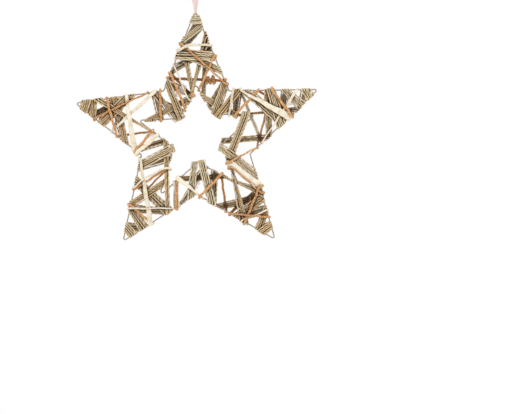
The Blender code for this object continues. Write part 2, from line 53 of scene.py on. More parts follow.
front, back = 1, -1


def addObject(name, data):
    made = bpy.data.objects.new(name, data)
    bpy.context.scene.collection.objects.link(made)
    return made


# Camera: straight on, with the star at the top left of the picture
view = {
    "centre": (0.1073, -0.4072),  # x and z in the middle of the picture
    "distance": 3.0,
    "sensor": 36,
    "lens": 124.57,  # the picture is 867 mm wide at the star
    "nearest": 0.05,
}
camera = addObject("camera", bpy.data.cameras.new("camera"))
camera.data.lens = view["lens"]
camera.data.sensor_width = view["sensor"]
camera.data.clip_start = view["nearest"]
camera.location = (view["centre"][0], -view["distance"], view["centre"][1])
camera.rotation_euler = (math.radians(90), 0, 0)
bpy.context.scene.camera = camera

wires = {
    "outerTip": 213.5 * mm,
    "outerNotch": 95 * mm,
    "innerTip": 103 * mm,
    "innerNotch": 44 * mm,
    "diameter": 2.2 * mm,
    "bendRadius": 2.4 * mm,
    "drop": 82 * mm,  # from the hanging point down to the top of the outer wire
    # how each hand-bent corner strays from an even star, clockwise from the top tip:
    # degrees turned to the left, and share of its even radius
    "outerStray": [
        (1.0, 0.989), (1.6, 0.981), (3.5, 1.016), (0.1, 0.971), (1.2, 1.005),
        (-1.2, 1.002), (0.5, 1.002), (-0.2, 1.035), (2.5, 0.992), (0.3, 1.004),
    ],
    "innerStray": [
        (1.9, 0.851), (-0.8, 1.080), (3.1, 1.004), (0.6, 0.952), (4.9, 1.018),
        (1.4, 0.957), (3.2, 1.132), (6.5, 1.007), (2.2, 0.998), (8.7, 0.973),
    ],
    "bendSteps": 7,  # on each half of a bend
    "solidSteps": 2,  # the same in the wire's solid
    "markStep": 0.5 * mm,
    "roundness": 3,  # bevel resolution of its section
}
laying = {  # how strands lie on each other, as in the solids
    "strandGap": 0.35 * mm,
    "turnGap": 0.2 * mm,
    "turnSqueeze": 0.35,
    "turnShoulder": 0.75,
    "steepest": 0.7,
    "widestSpread": 1.5,
    "cornerRoom": 1.5 * mm,
    "bareTip": 8 * mm,
    "smoothing": 0.15 * mm,
    "bowShares": (0.17, 0.33, 0.5, 0.67, 0.83),
    "longestSlide": 6 * mm,
    "slideTries": 13,
    "slideCost": 0.15,
    "roomShare": 0.99,
    "farthestReach": 9 * mm,
    "cell": 0.6 * mm,
    "gridReach": 1.12 * wires["outerTip"],
    "passStep": 1.3 * mm,
    "fewestSteps": 8,
    "crossedSamples": 12,
    "neededSamples": 20,
    "laidSamples": 44,
}


def unit(vector):
    return vector / np.linalg.norm(vector)


def sideOf(vector):
    return np.array((-vector[1], vector[0]))


def starCorners(tipRadius, notchRadius, stray):
    corners = []
    for step, (turned, share) in enumerate(stray):
        radius = (notchRadius if step % 2 else tipRadius) * share
        angle = math.radians(90 - 36 * step + turned)
        corners.append(radius * np.array((math.cos(angle), math.sin(angle))))
    return np.array(corners)


# A closed wire star, and how far the turns wound around it reach on its two sides.
class Wire:

    def __init__(self, corners):
        self.corners = corners
        legs = np.roll(corners, -1, axis=0) - corners
        self.lengths = np.linalg.norm(legs, axis=1)
        self.starts = np.concatenate(([0], np.cumsum(self.lengths)))
        cells = int(self.starts[-1] / laying["cell"]) + 2
        bare = wires["diameter"] / 2 + laying["turnGap"]
        self.reach = {front: np.full(cells, bare), back: np.full(cells, bare)}
        self.hooked = [0.0] * len(corners)

    def following(self, corner):
        return self.corners[(corner + 1) % len(self.corners)]

    def spot(self, place):
        corner = int(place) % len(self.corners)
        share = place - int(place)
        here, after = self.corners[corner], self.following(corner)
        return here + share * (after - here), unit(after - here)

    # How much of the leg there is from here to its nearer corner, or to a bare outer tip.
    def room(self, place):
        corner, past = self.nearestCorner(place)
        return abs(past) - (laying["cornerRoom"] if corner % 2 or self is inner else laying["bareTip"])

    def nearestCorner(self, place):
        corner = round(place) % len(self.corners)
        leg = self.lengths[int(place) % len(self.corners)]
        return corner, (place - round(place)) * leg

    def inward(self, corner):
        here = self.corners[corner]
        into = unit(unit(self.corners[corner - 1] - here) + unit(self.following(corner) - here))
        return into if corner % 2 == 0 else -into

    def halfAngle(self, corner):
        leg = unit(self.following(corner) - self.corners[corner])
        return math.acos(abs(float(np.dot(leg, self.inward(corner)))))

    def cellsAround(self, place, half):
        leg = int(place) % len(self.corners)
        middle = self.starts[leg] + (place - int(place)) * self.lengths[leg]
        first = int((middle - half) / laying["cell"]) - 1
        last = int((middle + half) / laying["cell"]) + 1
        return np.arange(first, last + 1) % (len(self.reach[front]) - 1)

    # The centre line, with an arc at every corner.
    def rounded(self, steps):
        points = []
        for corner, here in enumerate(self.corners):
            half = self.halfAngle(corner)
            toBefore = unit(self.corners[corner - 1] - here)
            toAfter = unit(self.following(corner) - here)
            into = unit(toBefore + toAfter)
            centre = here + into * wires["bendRadius"] / math.sin(half)
            swing = math.pi / 2 - half
            across = unit(toAfter - toBefore)
            for step in range(-steps, steps + 1):
                turn = swing * step / steps
                arc = across * math.sin(turn) - into * math.cos(turn)
                points.append(centre + wires["bendRadius"] * arc)
        return np.array(points)


# The height that the strands and wires already reach over each cell, on one face.
class HeightMap:

    def __init__(self):
        cells = int(2 * laying["gridReach"] / laying["cell"]) + 4
        self.top = np.full((cells, cells), -1.0)

    def cells(self, points):
        return ((points.reshape(-1, 2) + laying["gridReach"]) / laying["cell"]).astype(int).T + 1

    def at(self, points):
        return self.top[tuple(self.cells(points))]

    def under(self, points):
        rows, columns = self.cells(points)
        return max(self.top[rows + i, columns + j].max() for i in (-1, 0, 1) for j in (-1, 0, 1))

    def lay(self, points, height):
        np.maximum.at(self.top, tuple(self.cells(points)), height)


# Where a strand goes around a wire: its line across the strand, and its way round.
class Turn:

    def __init__(self, wire, place, width, thickness, arriving, leaving):
        self.thickness = thickness * laying["turnSqueeze"]
        corner, past = wire.nearestCorner(place)
        if wire is inner and past == 0 and corner % 2 == 0:
            self.hook(wire, corner, width)
        elif wire is inner and corner % 2 and abs(past) < width / 2 + laying["cornerRoom"]:
            self.roundNotch(wire, corner, past, place, width)
        else:
            self.roundLeg(wire, place, width, arriving, leaving)

    # Under the point of an inner tip, as deep as the strand fits between the two legs.
    def hook(self, wire, corner, width):
        half = wire.halfAngle(corner)
        room = (wires["diameter"] / 2 + laying["turnGap"]) / math.cos(half)
        depth = (width / 2 + room) / math.tan(half)
        depth = max(depth, wire.hooked[corner]) + self.thickness / 2
        wire.hooked[corner] = depth + self.thickness / 2 + laying["strandGap"]
        self.outward = wire.inward(corner)
        self.owner = (wire, corner)
        self.reach = wires["diameter"] / 2 + laying["turnGap"] + self.thickness / 2
        point = wire.corners[corner] + self.outward * (depth - self.reach)
        self.setEdges(point, sideOf(self.outward), width / 2)

    # Over the point of an inner notch, square to the line that halves it.
    def roundNotch(self, wire, corner, past, place, width):
        self.outward = wire.inward(corner)
        along = sideOf(self.outward)
        along = along if np.dot(along, wire.spot(place)[1]) > 0 else -along
        self.setEdges(wire.corners[corner] + along * past, along, width / 2)
        self.owner = (wire, front)
        self.stackOn(wire, place, width / 2)

    # Around a straight leg, at the lowest free place near the one asked for.
    def roundLeg(self, wire, place, width, arriving, leaving):
        along = wire.spot(place)[1]
        ways = [way for way in (arriving, leaving) if way is not None]
        lean = np.mean([abs(float(np.dot(sideOf(along), way))) for way in ways])
        half = width / 2 / max(lean, 1 / laying["widestSpread"])
        half = min(half, wire.room(place))
        travel = sum(ways) if leaving is None else -leaving + (0 if arriving is None else arriving)
        outward = sideOf(along)
        self.outward = outward if np.dot(outward, travel) > 0 else -outward
        centreward = np.dot(self.outward, wire.inward(wire.nearestCorner(place)[0])) > 0
        self.owner = (wire, front if centreward else back)
        leg = wire.lengths[int(place) % len(wire.corners)]
        choices = []
        for slide in np.linspace(-laying["longestSlide"], laying["longestSlide"], laying["slideTries"]):
            tried = place + slide / leg
            if int(tried) == int(place) and wire.room(tried) > laying["roomShare"] * half:
                self.setEdges(wire.spot(tried)[0], along, half)
                inside = max(self.stacked(wire, tried, half), self.crossed())
                choices.append((inside + laying["slideCost"] * abs(slide), tried))
        place = min(choices)[1] if choices else place
        self.setEdges(wire.spot(place)[0], along, half)
        self.stackOn(wire, place, half)

    def setEdges(self, point, along, half):
        self.edges = np.array((point - along * half, point + along * half))

    def line(self, count, out=0.0):
        return spread(self.edges, count) + self.outward * out

    def stacked(self, wire, place, half):
        return wire.reach[self.owner[1]][wire.cellsAround(place, half)].max()

    # How far beyond the wire the passes that cross it here reach, and turns of other wires.
    def crossed(self):
        reach = 0.0
        for out in np.arange(0, laying["farthestReach"], laying["cell"]):
            line = self.line(laying["crossedSamples"], out)
            others = [owners.get(spot, self.owner) != self.owner for spot in zip(*maps[front].cells(line))]
            if crossings.at(line).max() > 0 or any(others):
                reach = out + laying["cell"] + laying["strandGap"]
        return reach

    def stackOn(self, wire, place, half):
        inside = max(self.stacked(wire, place, half), self.crossed())
        cells = wire.cellsAround(place, half)
        wire.reach[self.owner[1]][cells] = inside + self.thickness + laying["turnGap"]
        self.reach = inside + self.thickness / 2

    # The share of its height that a turn keeps this far beyond the wire's centre.
    def fall(self, out):
        return 1 - (1 - laying["turnShoulder"]) * out / self.reach

    # High enough over the wire for the turn's slope to clear all that lies beside it.
    def heightNeeded(self, face):
        room = laying["strandGap"] + self.thickness / 2
        needed = []
        for out in np.arange(0, self.reach - self.thickness / 2, laying["cell"]):
            beside = maps[face].under(self.line(laying["neededSamples"], out))
            needed.append((beside + room) / self.fall(out))
        return max(needed)

    # Sections from one face to the other: edges, height and thickness.
    def sections(self, heights, firstFace):
        made = []
        beyond = self.edges + self.outward * self.reach
        for face in (firstFace, -firstFace):
            over = (self.edges, heights[face] * face, self.thickness)
            side = (beyond, heights[face] * laying["turnShoulder"] * face, self.thickness)
            made += [over, side] if face == firstFace else [side, over]
        return made

    def lay(self, heights):
        for out in np.arange(0, self.reach + self.thickness / 2, laying["cell"] / 2):
            line = self.line(laying["laidSamples"], out)
            for face in (front, back):
                maps[face].lay(line, heights[face] * self.fall(out) + self.thickness / 2)
            for spot in zip(*maps[front].cells(line)):
                owners[spot] = self.owner


# Points from one edge of a strand to the other.
def spread(edges, count):
    return edges[0] + (edges[1] - edges[0]) * np.linspace(0, 1, count)[:, None]


# Both edges of a pass at a share of its length, bowed sideways in the middle.
def across(start, end, share, bow):
    aside = sideOf(unit((end - start).mean(axis=0)))
    return start + (end - start) * share + aside * bow * 4 * share * (1 - share)


# Shares along a pass and its heights there, pulled tight over all that lies under it.
def tightHeights(face, first, last, thickness, bow):
    start, end = first.edges, last.edges
    length = np.linalg.norm((end - start).mean(axis=0))
    steps = max(laying["fewestSteps"], int(length / laying["passStep"]))
    shares = np.linspace(0, 1, steps + 1)
    lines = [spread(across(start, end, share, bow), laying["neededSamples"]) for share in shares]
    needed = np.array([maps[face].under(line) for line in lines])
    needed = np.where(needed > 0, needed, -1.0) + laying["strandGap"] + thickness / 2
    overWire = wires["diameter"] / 2 + laying["strandGap"] + thickness / 2
    fall = laying["steepest"] * length * shares
    needed[0] = max(overWire, first.heightNeeded(face), (needed - fall).max())
    needed[-1] = max(overWire, last.heightNeeded(face), (needed - fall[::-1]).max())
    kept = [0]
    for index in range(1, steps + 1):
        while len(kept) > 1 and rise(kept[-2], kept[-1], index, shares, needed) <= 0:
            kept.pop()
        kept.append(index)
    # points whose loss lowers the strand only a hair are left out
    index = 1
    while index < len(kept) - 1:
        if rise(*kept[index - 1:index + 2], shares, needed) < laying["smoothing"]:
            kept.pop(index)
        else:
            index += 1
    return shares[kept], needed[kept]


# How far the middle point stands above the straight line between its neighbours.
def rise(first, middle, last, shares, needed):
    share = (shares[middle] - shares[first]) / (shares[last] - shares[first])
    return needed[middle] - (needed[first] + share * (needed[last] - needed[first]))


def layPass(face, start, end, shares, heights, thickness, bow):
    length = np.linalg.norm((end - start).mean(axis=0))
    for share in np.linspace(0, 1, int(2 * length / laying["cell"]) + 2):
        line = spread(across(start, end, share, bow), laying["laidSamples"])
        for place in (maps[face], crossings):
            place.lay(line, np.interp(share, shares, heights) + thickness / 2)


# One length wound from place to place: a pass over one face, a turn, a pass over the other. Its name says
# what it is made of.
def strand(name, *route, face=front):
    kind = yarn if "rust" in name else roving if "cream" in name else twine
    thickness = kind["thickness"]
    route = [place + (kind["width"] / mm, 0)[len(place) - 2:] for place in route]
    points = [wire.spot(place)[0] for wire, place, width, bow in route]
    ways = [None, *[unit(after - before) for before, after in zip(points, points[1:])], None]
    turns = []
    for (wire, place, width, bow), arriving, leaving in zip(route, ways, ways[1:]):
        turn = Turn(wire, place, width * mm, thickness, arriving, leaving)
        if turns and isCrossed(turns[-1].edges, turn.edges):
            turn.edges = turn.edges[::-1]
        turns.append(turn)
    heights = {-face: turns[0].heightNeeded(-face)}
    sections = []
    for index, turn in enumerate(turns):
        if index < len(turns) - 1:
            bow = route[index][3] * mm
            start, end = turn.edges, turns[index + 1].edges
            shares, levels = tightHeights(face, turn, turns[index + 1], thickness, bow)
            heights[face] = levels[0]
        else:
            heights[face] = turn.heightNeeded(face)
        sections += turn.sections(heights, -face)
        turn.lay(heights)
        if index < len(turns) - 1:
            layPass(face, start, end, shares, levels, thickness, bow)
            for share in sorted(set(shares[1:-1]) | set(laying["bowShares"] if bow else ())):
                height = np.interp(share, shares, levels) * face
                sections.append((across(start, end, share, bow), height, thickness))
            heights = {face: levels[-1]}
            face = -face
    if kind is twine:
        dressTwine(name, sections)
    else:
        dressWool(name, sections, kind)


# Whether the edges of a pass between these two lines would cross each other.
def isCrossed(start, end):
    acrossRun = sideOf((end - start).mean(axis=0))
    return np.dot(start[1] - start[0], acrossRun) * np.dot(end[1] - end[0], acrossRun) < 0


# From the star's own plane, with the front upwards, to the hanging part.
def world(points):
    return np.column_stack((points[:, 0] - tip[0], -points[:, 2], points[:, 1] - tip[1] - wires["drop"]))


def colour(code):
    values = [int(code[at:at + 2], 16) / 255 for at in (1, 3, 5)]
    return (*[v / 12.92 if v <= 0.04045 else ((v + 0.055) / 1.055) ** 2.4 for v in values], 1.0)


# A link comes from a socket, or from a node's first one.
def feed(node, links):
    for name, source in links.items():
        socket = source if isinstance(source, bpy.types.NodeSocket) else source.outputs[0]
        node.id_data.links.new(socket, node.inputs[name])


def addNode(tree, kind, settings=None, links=None):
    node = tree.nodes.new("ShaderNode" + kind)
    for name, value in (settings or {}).items():
        if isinstance(name, int) or name in node.inputs:
            node.inputs[name].default_value = value
        else:
            setattr(node, name, value)
    feed(node, links or {})
    return node


def newMaterial(name, **settings):
    made = bpy.data.materials.new(name)
    made.use_nodes = True
    shader = made.node_tree.nodes["Principled BSDF"]
    for socket, value in settings.items():
        shader.inputs[socket.replace("_", " ")].default_value = value
    return made, made.node_tree, shader


# The fibres of a strand, drawn out along it, and the attributes that its mesh carries.
def strandNodes(tree, fibre, drawn, detail, roughness):
    straight = addNode(tree, "Attribute", {"attribute_name": "straight"}).outputs["Vector"]
    parts = [addNode(tree, "Attribute", {"attribute_name": part}) for part in ("tint", "hollow", "shade")]
    stretched = addNode(tree, "Mapping", {"Scale": (1, 1, drawn)}, {"Vector": straight})
    look = {"Scale": 1 / fibre, "Detail": detail, "Roughness": roughness}
    fibres = addNode(tree, "TexNoise", look, {"Vector": stretched})
    return straight, *[part.outputs["Fac"] for part in parts], fibres


# Twisted paper-and-cotton twine: matt khaki plies, painted shade in its grooves, specks of champagne glitter.
def glitterTwine():
    look = {
        # the groove colour is painted shade where cords meet, between plies and on the dark sheet; the one
        # after it is painted shade of the lower layers
        "plies": ("#FFF3D0", "#FADCAC", "#DFB47A"), "groove": "#311A03", "lowerLayerShade": "#6F5B40",
        "fibre": 0.35 * mm, "blotch": 9 * mm, "relief": 0.25 * mm,
        "speck": "#FBF1D2", "speckSize": 0.6 * mm, "speckShare": 0.16, "deepestSpeck": 0.45,
    }
    made, tree, shader = newMaterial("glitter_twine_paper", Specular_IOR_Level=0.15)
    straight, tint, hollow, shade, fibre = strandNodes(tree, look["fibre"], 0.12, 4, 0.6)
    ply = addNode(tree, "ValToRGB", links={"Fac": tint})
    ramp = ply.color_ramp
    ramp.elements[0].color = colour(look["plies"][0])
    ramp.elements[1].color = colour(look["plies"][2])
    ramp.elements.new(0.5).color = colour(look["plies"][1])
    blotch = addNode(tree, "TexNoise", {"Scale": 1 / look["blotch"], "Detail": 2}, {"Vector": straight})
    fine = addNode(tree, "MapRange", {"From Min": 0.25, "From Max": 0.75, "To Min": 0.62, "To Max": 1.18},
                   {"Value": fibre})
    broad = addNode(tree, "MapRange", {"From Min": 0.3, "From Max": 0.7, "To Min": 0.86, "To Max": 1.1},
                    {"Value": blotch})
    both = addNode(tree, "Math", {"operation": "MULTIPLY"}, {0: fine, 1: broad})
    dyed = addNode(tree, "MixRGB", {"blend_type": "MULTIPLY", "Fac": 1}, {"Color1": ply, "Color2": both})
    # painted shade of the lower layers
    dim = addNode(tree, "MixRGB", {"blend_type": "MULTIPLY", "Color2": colour(look["lowerLayerShade"])},
                  {"Fac": shade, "Color1": dyed})
    # painted shade where cords meet, between plies and on the dark sheet
    sunk = addNode(tree, "MixRGB", {"Color2": colour(look["groove"])}, {"Fac": hollow, "Color1": dim})
    # round flakes of several sizes, in some of the cells and never deep in a groove
    flakes = addNode(tree, "TexVoronoi", {"Scale": 1 / look["speckSize"], "Randomness": 1},
                     {"Vector": straight})
    chance = addNode(tree, "SeparateColor", links={"Color": flakes.outputs["Color"]})
    chosen = addNode(tree, "Math", {"operation": "LESS_THAN", 1: look["speckShare"]}, {0: chance})
    reach = addNode(tree, "MapRange", {"To Min": 0.12, "To Max": 0.5}, {"Value": chance.outputs[1]})
    near = addNode(tree, "Math", {"operation": "LESS_THAN"}, {0: flakes, 1: reach})
    above = addNode(tree, "Math", {"operation": "LESS_THAN", 1: look["deepestSpeck"]}, {0: hollow})
    speck = addNode(tree, "Math", {"operation": "MULTIPLY"}, {0: chosen, 1: near})
    speck = addNode(tree, "Math", {"operation": "MULTIPLY"}, {0: speck, 1: above})
    final = addNode(tree, "MixRGB", {"Color2": colour(look["speck"])}, {"Fac": speck, "Color1": sunk})
    gloss = addNode(tree, "MapRange", {"To Min": 0.66, "To Max": 0.24}, {"Value": speck})
    relief = addNode(tree, "Bump", {"Strength": 0.5, "Distance": look["relief"]}, {"Height": fibre})
    feed(shader, {"Base Color": final, "Metallic": speck, "Roughness": gloss, "Normal": relief})
    return made


# Carded wool, spun or left as roving: no gloss, long soft fibres, a little deeper in colour where they part,
# painted shade in creases.
def wool(name, light, deep, fibre, mottle):
    made, tree, shader = newMaterial(
        name, Roughness=0.95, Specular_IOR_Level=0.15, Sheen_Weight=0.3, Sheen_Roughness=0.5
    )
    straight, tint, hollow, shade, hairs = strandNodes(tree, fibre, 0.16, 5, 0.65)
    blotch = addNode(tree, "TexNoise", {"Scale": 1 / mottle, "Detail": 2}, {"Vector": straight})
    patch = addNode(tree, "MapRange", {"From Min": 0.38, "From Max": 0.62, "To Min": 0.1}, {"Value": blotch})
    parted = addNode(tree, "MapRange", {"From Min": 0.34, "From Max": 0.62}, {"Value": hairs})
    uneven = addNode(tree, "Math", {"operation": "MULTIPLY"}, {0: parted, 1: patch})
    # the deeper colour also paints shade in the creases
    deeper = addNode(tree, "Math", {"operation": "MAXIMUM"}, {0: uneven, 1: hollow})
    dyed = addNode(tree, "MixRGB", {"Color1": colour(light), "Color2": colour(deep)}, {"Fac": deeper})
    bright = addNode(tree, "MapRange", {"To Min": 0.9, "To Max": 1.08}, {"Value": tint})
    batch = addNode(tree, "HueSaturation", links={"Color": dyed, "Value": bright})
    # painted shade of the lower layers
    dim = addNode(tree, "MixRGB", {"blend_type": "MULTIPLY", "Color2": colour("#8C7454")},
                  {"Fac": shade, "Color1": batch})
    relief = addNode(tree, "Bump", {"Strength": 0.6, "Distance": 0.3 * mm}, {"Height": hairs})
    feed(shader, {"Base Color": dim, "Normal": relief})
    return made


# Drawn low-carbon steel wire, bare: dull grey-brown, faint length-wise die lines and a breath of rust.
def steelWire():
    made, tree, shader = newMaterial("drawn_steel_wire", Metallic=0.85)
    place = addNode(tree, "TexCoord").outputs["Object"]
    rust = addNode(tree, "TexNoise", {"Scale": 1 / (6 * mm), "Detail": 5, "Roughness": 0.7},
                   {"Vector": place})
    stain = addNode(tree, "MapRange", {"From Min": 0.5, "From Max": 0.72}, {"Value": rust})
    metal = addNode(tree, "MixRGB", {"Color1": colour("#B3A89A"), "Color2": colour("#8A6C54")},
                    {"Fac": stain})
    grain = addNode(tree, "TexNoise", {"Scale": 1 / (0.8 * mm), "Detail": 3}, {"Vector": place})
    dull = addNode(tree, "MapRange", {"To Min": 0.38, "To Max": 0.6}, {"Value": grain})
    relief = addNode(tree, "Bump", {"Strength": 0.25, "Distance": 0.1 * mm}, {"Height": grain})
    feed(shader, {"Base Color": metal, "Roughness": dull, "Normal": relief})
    return made


# Organza: fine crossed threads of nylon with air between them, so it is see-through and a little bright.
# The threads are drawn 0.5 mm apart, coarser than real ones, so that they show.
def sheerRibbon():
    made, tree, shader = newMaterial("organza_ribbon", Roughness=0.45, Sheen_Weight=0.3)
    place = addNode(tree, "Attribute", {"attribute_name": "straight"}).outputs["Vector"]
    cloud = addNode(tree, "TexNoise", {"Scale": 1 / (16 * mm), "Detail": 2}, {"Vector": place})
    dye = addNode(tree, "MixRGB", {"Color1": colour("#F4DFD8"), "Color2": colour("#E9CFCB")}, {"Fac": cloud})
    weft = addNode(tree, "TexWave", {
        "wave_type": "BANDS", "bands_direction": "Z", "Scale": 0.05 / (0.5 * mm), "Distortion": 0.6,
    }, {"Vector": place})
    threads = addNode(tree, "MapRange", {"To Min": 0.55, "To Max": 0.85}, {"Value": weft.outputs["Fac"]})
    feed(shader, {"Base Color": dye, "Alpha": threads})
    return made


# Loose wool fibre: a cloudy white tuft with a rosy cast, thin enough to see through at its edges.
def woolWisp():
    made, tree, shader = newMaterial("loose_wool_fibre", Roughness=1.0, Sheen_Weight=0.4)
    place = addNode(tree, "Attribute", {"attribute_name": "straight"}).outputs["Vector"]
    drawn = addNode(tree, "Mapping", {"Scale": (1, 1, 0.25)}, {"Vector": place})
    fibres = addNode(tree, "TexNoise", {"Scale": 1 / (1.6 * mm), "Detail": 3, "Roughness": 0.5},
                     {"Vector": drawn})
    dye = addNode(tree, "MixRGB", {"Color1": colour("#FBF1EC"), "Color2": colour("#DFC6BE")}, {"Fac": fibres})
    thin = addNode(tree, "MapRange", {"From Min": 0.35, "From Max": 0.68, "To Min": 0.25, "To Max": 0.6},
                   {"Value": fibres})
    feed(shader, {"Base Color": dye, "Alpha": thin})
    return made


materials = {
    "glitter_twine": glitterTwine(),
    "rust_yarn": wool("rust_mohair_yarn", "#E3AF78", "#8F521E", 0.6 * mm, 3 * mm),
    "cream_wool": wool("cream_merino_roving", "#F5ECD8", "#D3C09A", 0.7 * mm, 9 * mm),
    "steel_wire": steelWire(),
    "sheer_ribbon": sheerRibbon(),
    "wool_wisp": woolWisp(),
}
pick = np.random.default_rng(41)
print("materials mixed")


def evaluatedMesh(thing):
    bpy.context.view_layer.update()
    mesh = bpy.data.meshes.new_from_object(thing.evaluated_get(bpy.context.evaluated_depsgraph_get()))
    bpy.data.objects.remove(thing)
    return mesh


tubeGap = 4  # between the middles of straight tubes of radius 1


# Straight tubes of unit length side by side, to be bent onto their routes, and the tube, ring and angle of
# each point.
def straightTubes(name, count, sides, rings):
    shape = bmesh.new()
    aside = Matrix.Translation((0, 0, 0.5))
    bmesh.ops.create_cone(shape, cap_ends=True, segments=sides, radius1=1, radius2=1, depth=1, matrix=aside)
    upright = [edge for edge in shape.edges if abs(edge.verts[0].co.z - edge.verts[1].co.z) > 0.5]
    if rings > 2:
        bmesh.ops.subdivide_edges(shape, edges=upright, cuts=rings - 2, use_grid_fill=True)
    mesh = bpy.data.meshes.new(name)
    shape.to_mesh(mesh)
    shape.free()
    if count > 1:
        single = addObject(name, mesh)
        row = single.modifiers.new("side by side", "ARRAY")
        row.use_relative_offset = False
        row.use_constant_offset = True
        row.constant_offset_displace = (tubeGap, 0, 0)
        row.count = count
        several = evaluatedMesh(single)
        bpy.data.meshes.remove(mesh)
        several.name = name
        mesh = several
    points = np.empty(3 * len(mesh.vertices), np.float32)
    mesh.vertices.foreach_get("co", points)
    x, y, z = points.reshape(-1, 3).T
    tube = np.rint(x / tubeGap).astype(int)
    return mesh, tube, np.rint(z * (rings - 1)).astype(int), np.arctan2(y, x - tubeGap * tube)


# Values for the material to read, one number or one vector for each point.
def setAttributes(mesh, **named):
    for name, values in named.items():
        isVector = np.ndim(values) == 2
        layer = mesh.attributes.new(name, "FLOAT_VECTOR" if isVector else "FLOAT", "POINT")
        layer.data.foreach_set("vector" if isVector else "value", np.asarray(values, np.float32).ravel())


def unitRows(vectors):
    return vectors / np.linalg.norm(vectors, axis=1)[:, None]


def squareTo(tangent, vectors):
    return vectors - tangent * (vectors * tangent).sum(axis=1)[:, None]


def distances(line):
    return np.concatenate(([0], np.cumsum(np.linalg.norm(np.diff(line, axis=0), axis=1))))


def sampled(line, along, at):
    return np.column_stack([np.interp(at, along, line[:, axis]) for axis in range(3)])


def offLine(middle, wide, sideways, out, outwards):
    return middle + wide * sideways[:, None] + out * outwards[:, None]


# Both edges of a strand as lines of points an even step apart, softened at the bends, and its depth there.
def edgeLines(sections, step, soften):
    left, right = [
        np.array([(*edges[side], height) for edges, height, thickness in sections]) for side in (0, 1)
    ]
    depth = np.array([(thickness, 0, 0) for edges, height, thickness in sections])
    along = distances((left + right) / 2)
    at = np.linspace(0, along[-1], max(8, int(along[-1] / step) + 1))
    reach = int(3 * soften / step) + 1
    weights = np.exp(-0.5 * (np.arange(-reach, reach + 1) * step / soften) ** 2)
    weights /= weights.sum()
    lines = []
    for side in (left, right, depth):
        padded = np.pad(sampled(side, along, at), ((reach, reach), (0, 0)), mode="edge")
        lines.append(np.column_stack([np.convolve(padded[:, axis], weights, "valid") for axis in range(3)]))
    return lines[0], lines[1], lines[2][:, 0], at


# The directions across a strand and out of it at every ring, its width, and how far it stands up there.
def directions(left, right):
    tangent = unitRows(np.gradient((left + right) / 2, axis=0))
    wide = squareTo(tangent, right - left)
    width = np.linalg.norm(wide, axis=1)
    wide /= width[:, None]
    out = np.cross(tangent, wide)
    return wide, out, width, np.abs(np.cross(wide, out)[:, 2])


# Gives a mesh its shape and finish, with its round sides smooth and its ends flat, hangs it on the root body
# and hides the solids it replaces.
def finishPiece(mesh, points, slot, *nodes, finish=None):
    if points is not None:
        mesh.vertices.foreach_set("co", points.astype(np.float32).ravel())
        mesh.update()
    shape = bmesh.new()
    shape.from_mesh(mesh)
    if shape.calc_volume(signed=True) < 0:
        bmesh.ops.reverse_faces(shape, faces=shape.faces)
    for face in shape.faces:
        face.smooth = len(face.verts) == 4
    shape.to_mesh(mesh)
    shape.free()
    mesh.materials.append(materials[finish or slot])
    piece = addObject(mesh.name, mesh)
    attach(piece, "root")
    if nodes:
        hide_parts(*nodes)
    return piece


# Marks a wire on the height maps, the way its solid was marked, so that the strands lie as the solids do.
def markWire(line):
    radius = wires["diameter"] / 2
    for index, here in enumerate(line):
        before, after = line[index - 1], line[(index + 1) % len(line)]
        aside = sideOf(unit(unit(here - before) + unit(after - here)))
        length = np.linalg.norm(after - here)
        for share in np.linspace(0, 1, int(length / wires["markStep"]) + 2):
            for offset in (-1, -0.5, 0, 0.5, 1):
                spot = here + (after - here) * share + aside * radius * offset
                for face in (front, back):
                    maps[face].lay(spot, radius)


# A wire star as one closed round tube.
def bendWire(name, wire):
    markWire(wire.rounded(wires["solidSteps"]))
    line = wire.rounded(wires["bendSteps"])
    line = world(np.column_stack((line, np.zeros(len(line)))))
    curve = bpy.data.curves.new(name, "CURVE")
    curve.dimensions = "3D"
    curve.bevel_depth = wires["diameter"] / 2
    curve.bevel_resolution = wires["roundness"]
    spline = curve.splines.new("POLY")
    spline.points.add(len(line) - 1)
    spline.points.foreach_set("co", np.column_stack((line, np.ones(len(line)))).astype(np.float32).ravel())
    spline.use_cyclic_u = True
    mesh = evaluatedMesh(addObject(name, curve))
    shape = bmesh.new()
    shape.from_mesh(mesh)
    bmesh.ops.remove_doubles(shape, verts=shape.verts, dist=0.01 * mm)
    bmesh.ops.recalc_face_normals(shape, faces=shape.faces)
    shape.to_mesh(mesh)
    shape.free()
    mesh.name = name + "_round"
    mesh.materials.clear()
    finishPiece(mesh, None, "steel_wire", name)


twine = {"thickness": 2.7 * mm, "width": 15.5 * mm}
cords = {
    "spacing": 3.3 * mm,
    "usualWidth": 75,  # per cent of a band's length that is narrower than the width its cords are counted on
    "thinnest": 0.95 * mm,
    "thickest": 1.7 * mm,
    "lay": 17 * mm,  # one full turn of the two plies, in the loose twine
    "layRange": (0.7, 1.5),
    "ropeLay": 10 * mm,  # and in the bands that show as rope
    "ropes": ("bottom_back_glitter_band", "right_arm_back_glitter_band", "right_upper_elbow_glitter_strap"),
    "uneven": 0.2,  # how far a cord strays to its neighbour, as a share of their spacing
    "leftTwist": 0.3,  # share of bands twisted the other way
    "groove": 0.3,  # how deep the plies part, as a share of the radius
    "flattest": 0.4,  # of their thickness, where cords are pulled around a wire
    # a thin dark sheet under the cords, painted shade that shows between them: its thickness and how wide it
    # is
    "shadeSheet": 0.9 * mm,
    "shadeSheetShare": 0.85,  # of the band's width, on the straight
    "shadeSheetFlat": 0.25,  # lost where the cords are flattest
    "shadeSheetTurn": 0.45,  # lost where they turn around a wire
    "sides": 8,
    "step": 1.45 * mm,
    "soften": 1.1 * mm,
    "wobble": 0.12 * mm,
    "wobbleLength": 37 * mm,
    "slip": 2.2 * mm,  # of the outer cords towards the middle of the band, where it turns around a wire
    # how dark the painted shade is where cords meet, on the band's free sides and between plies
    "seam": 0.85,  # how dark it is where cords meet
    "freeSeam": 0.25,  # the share of that on the band's free sides
    "plySeam": 0.5,
}
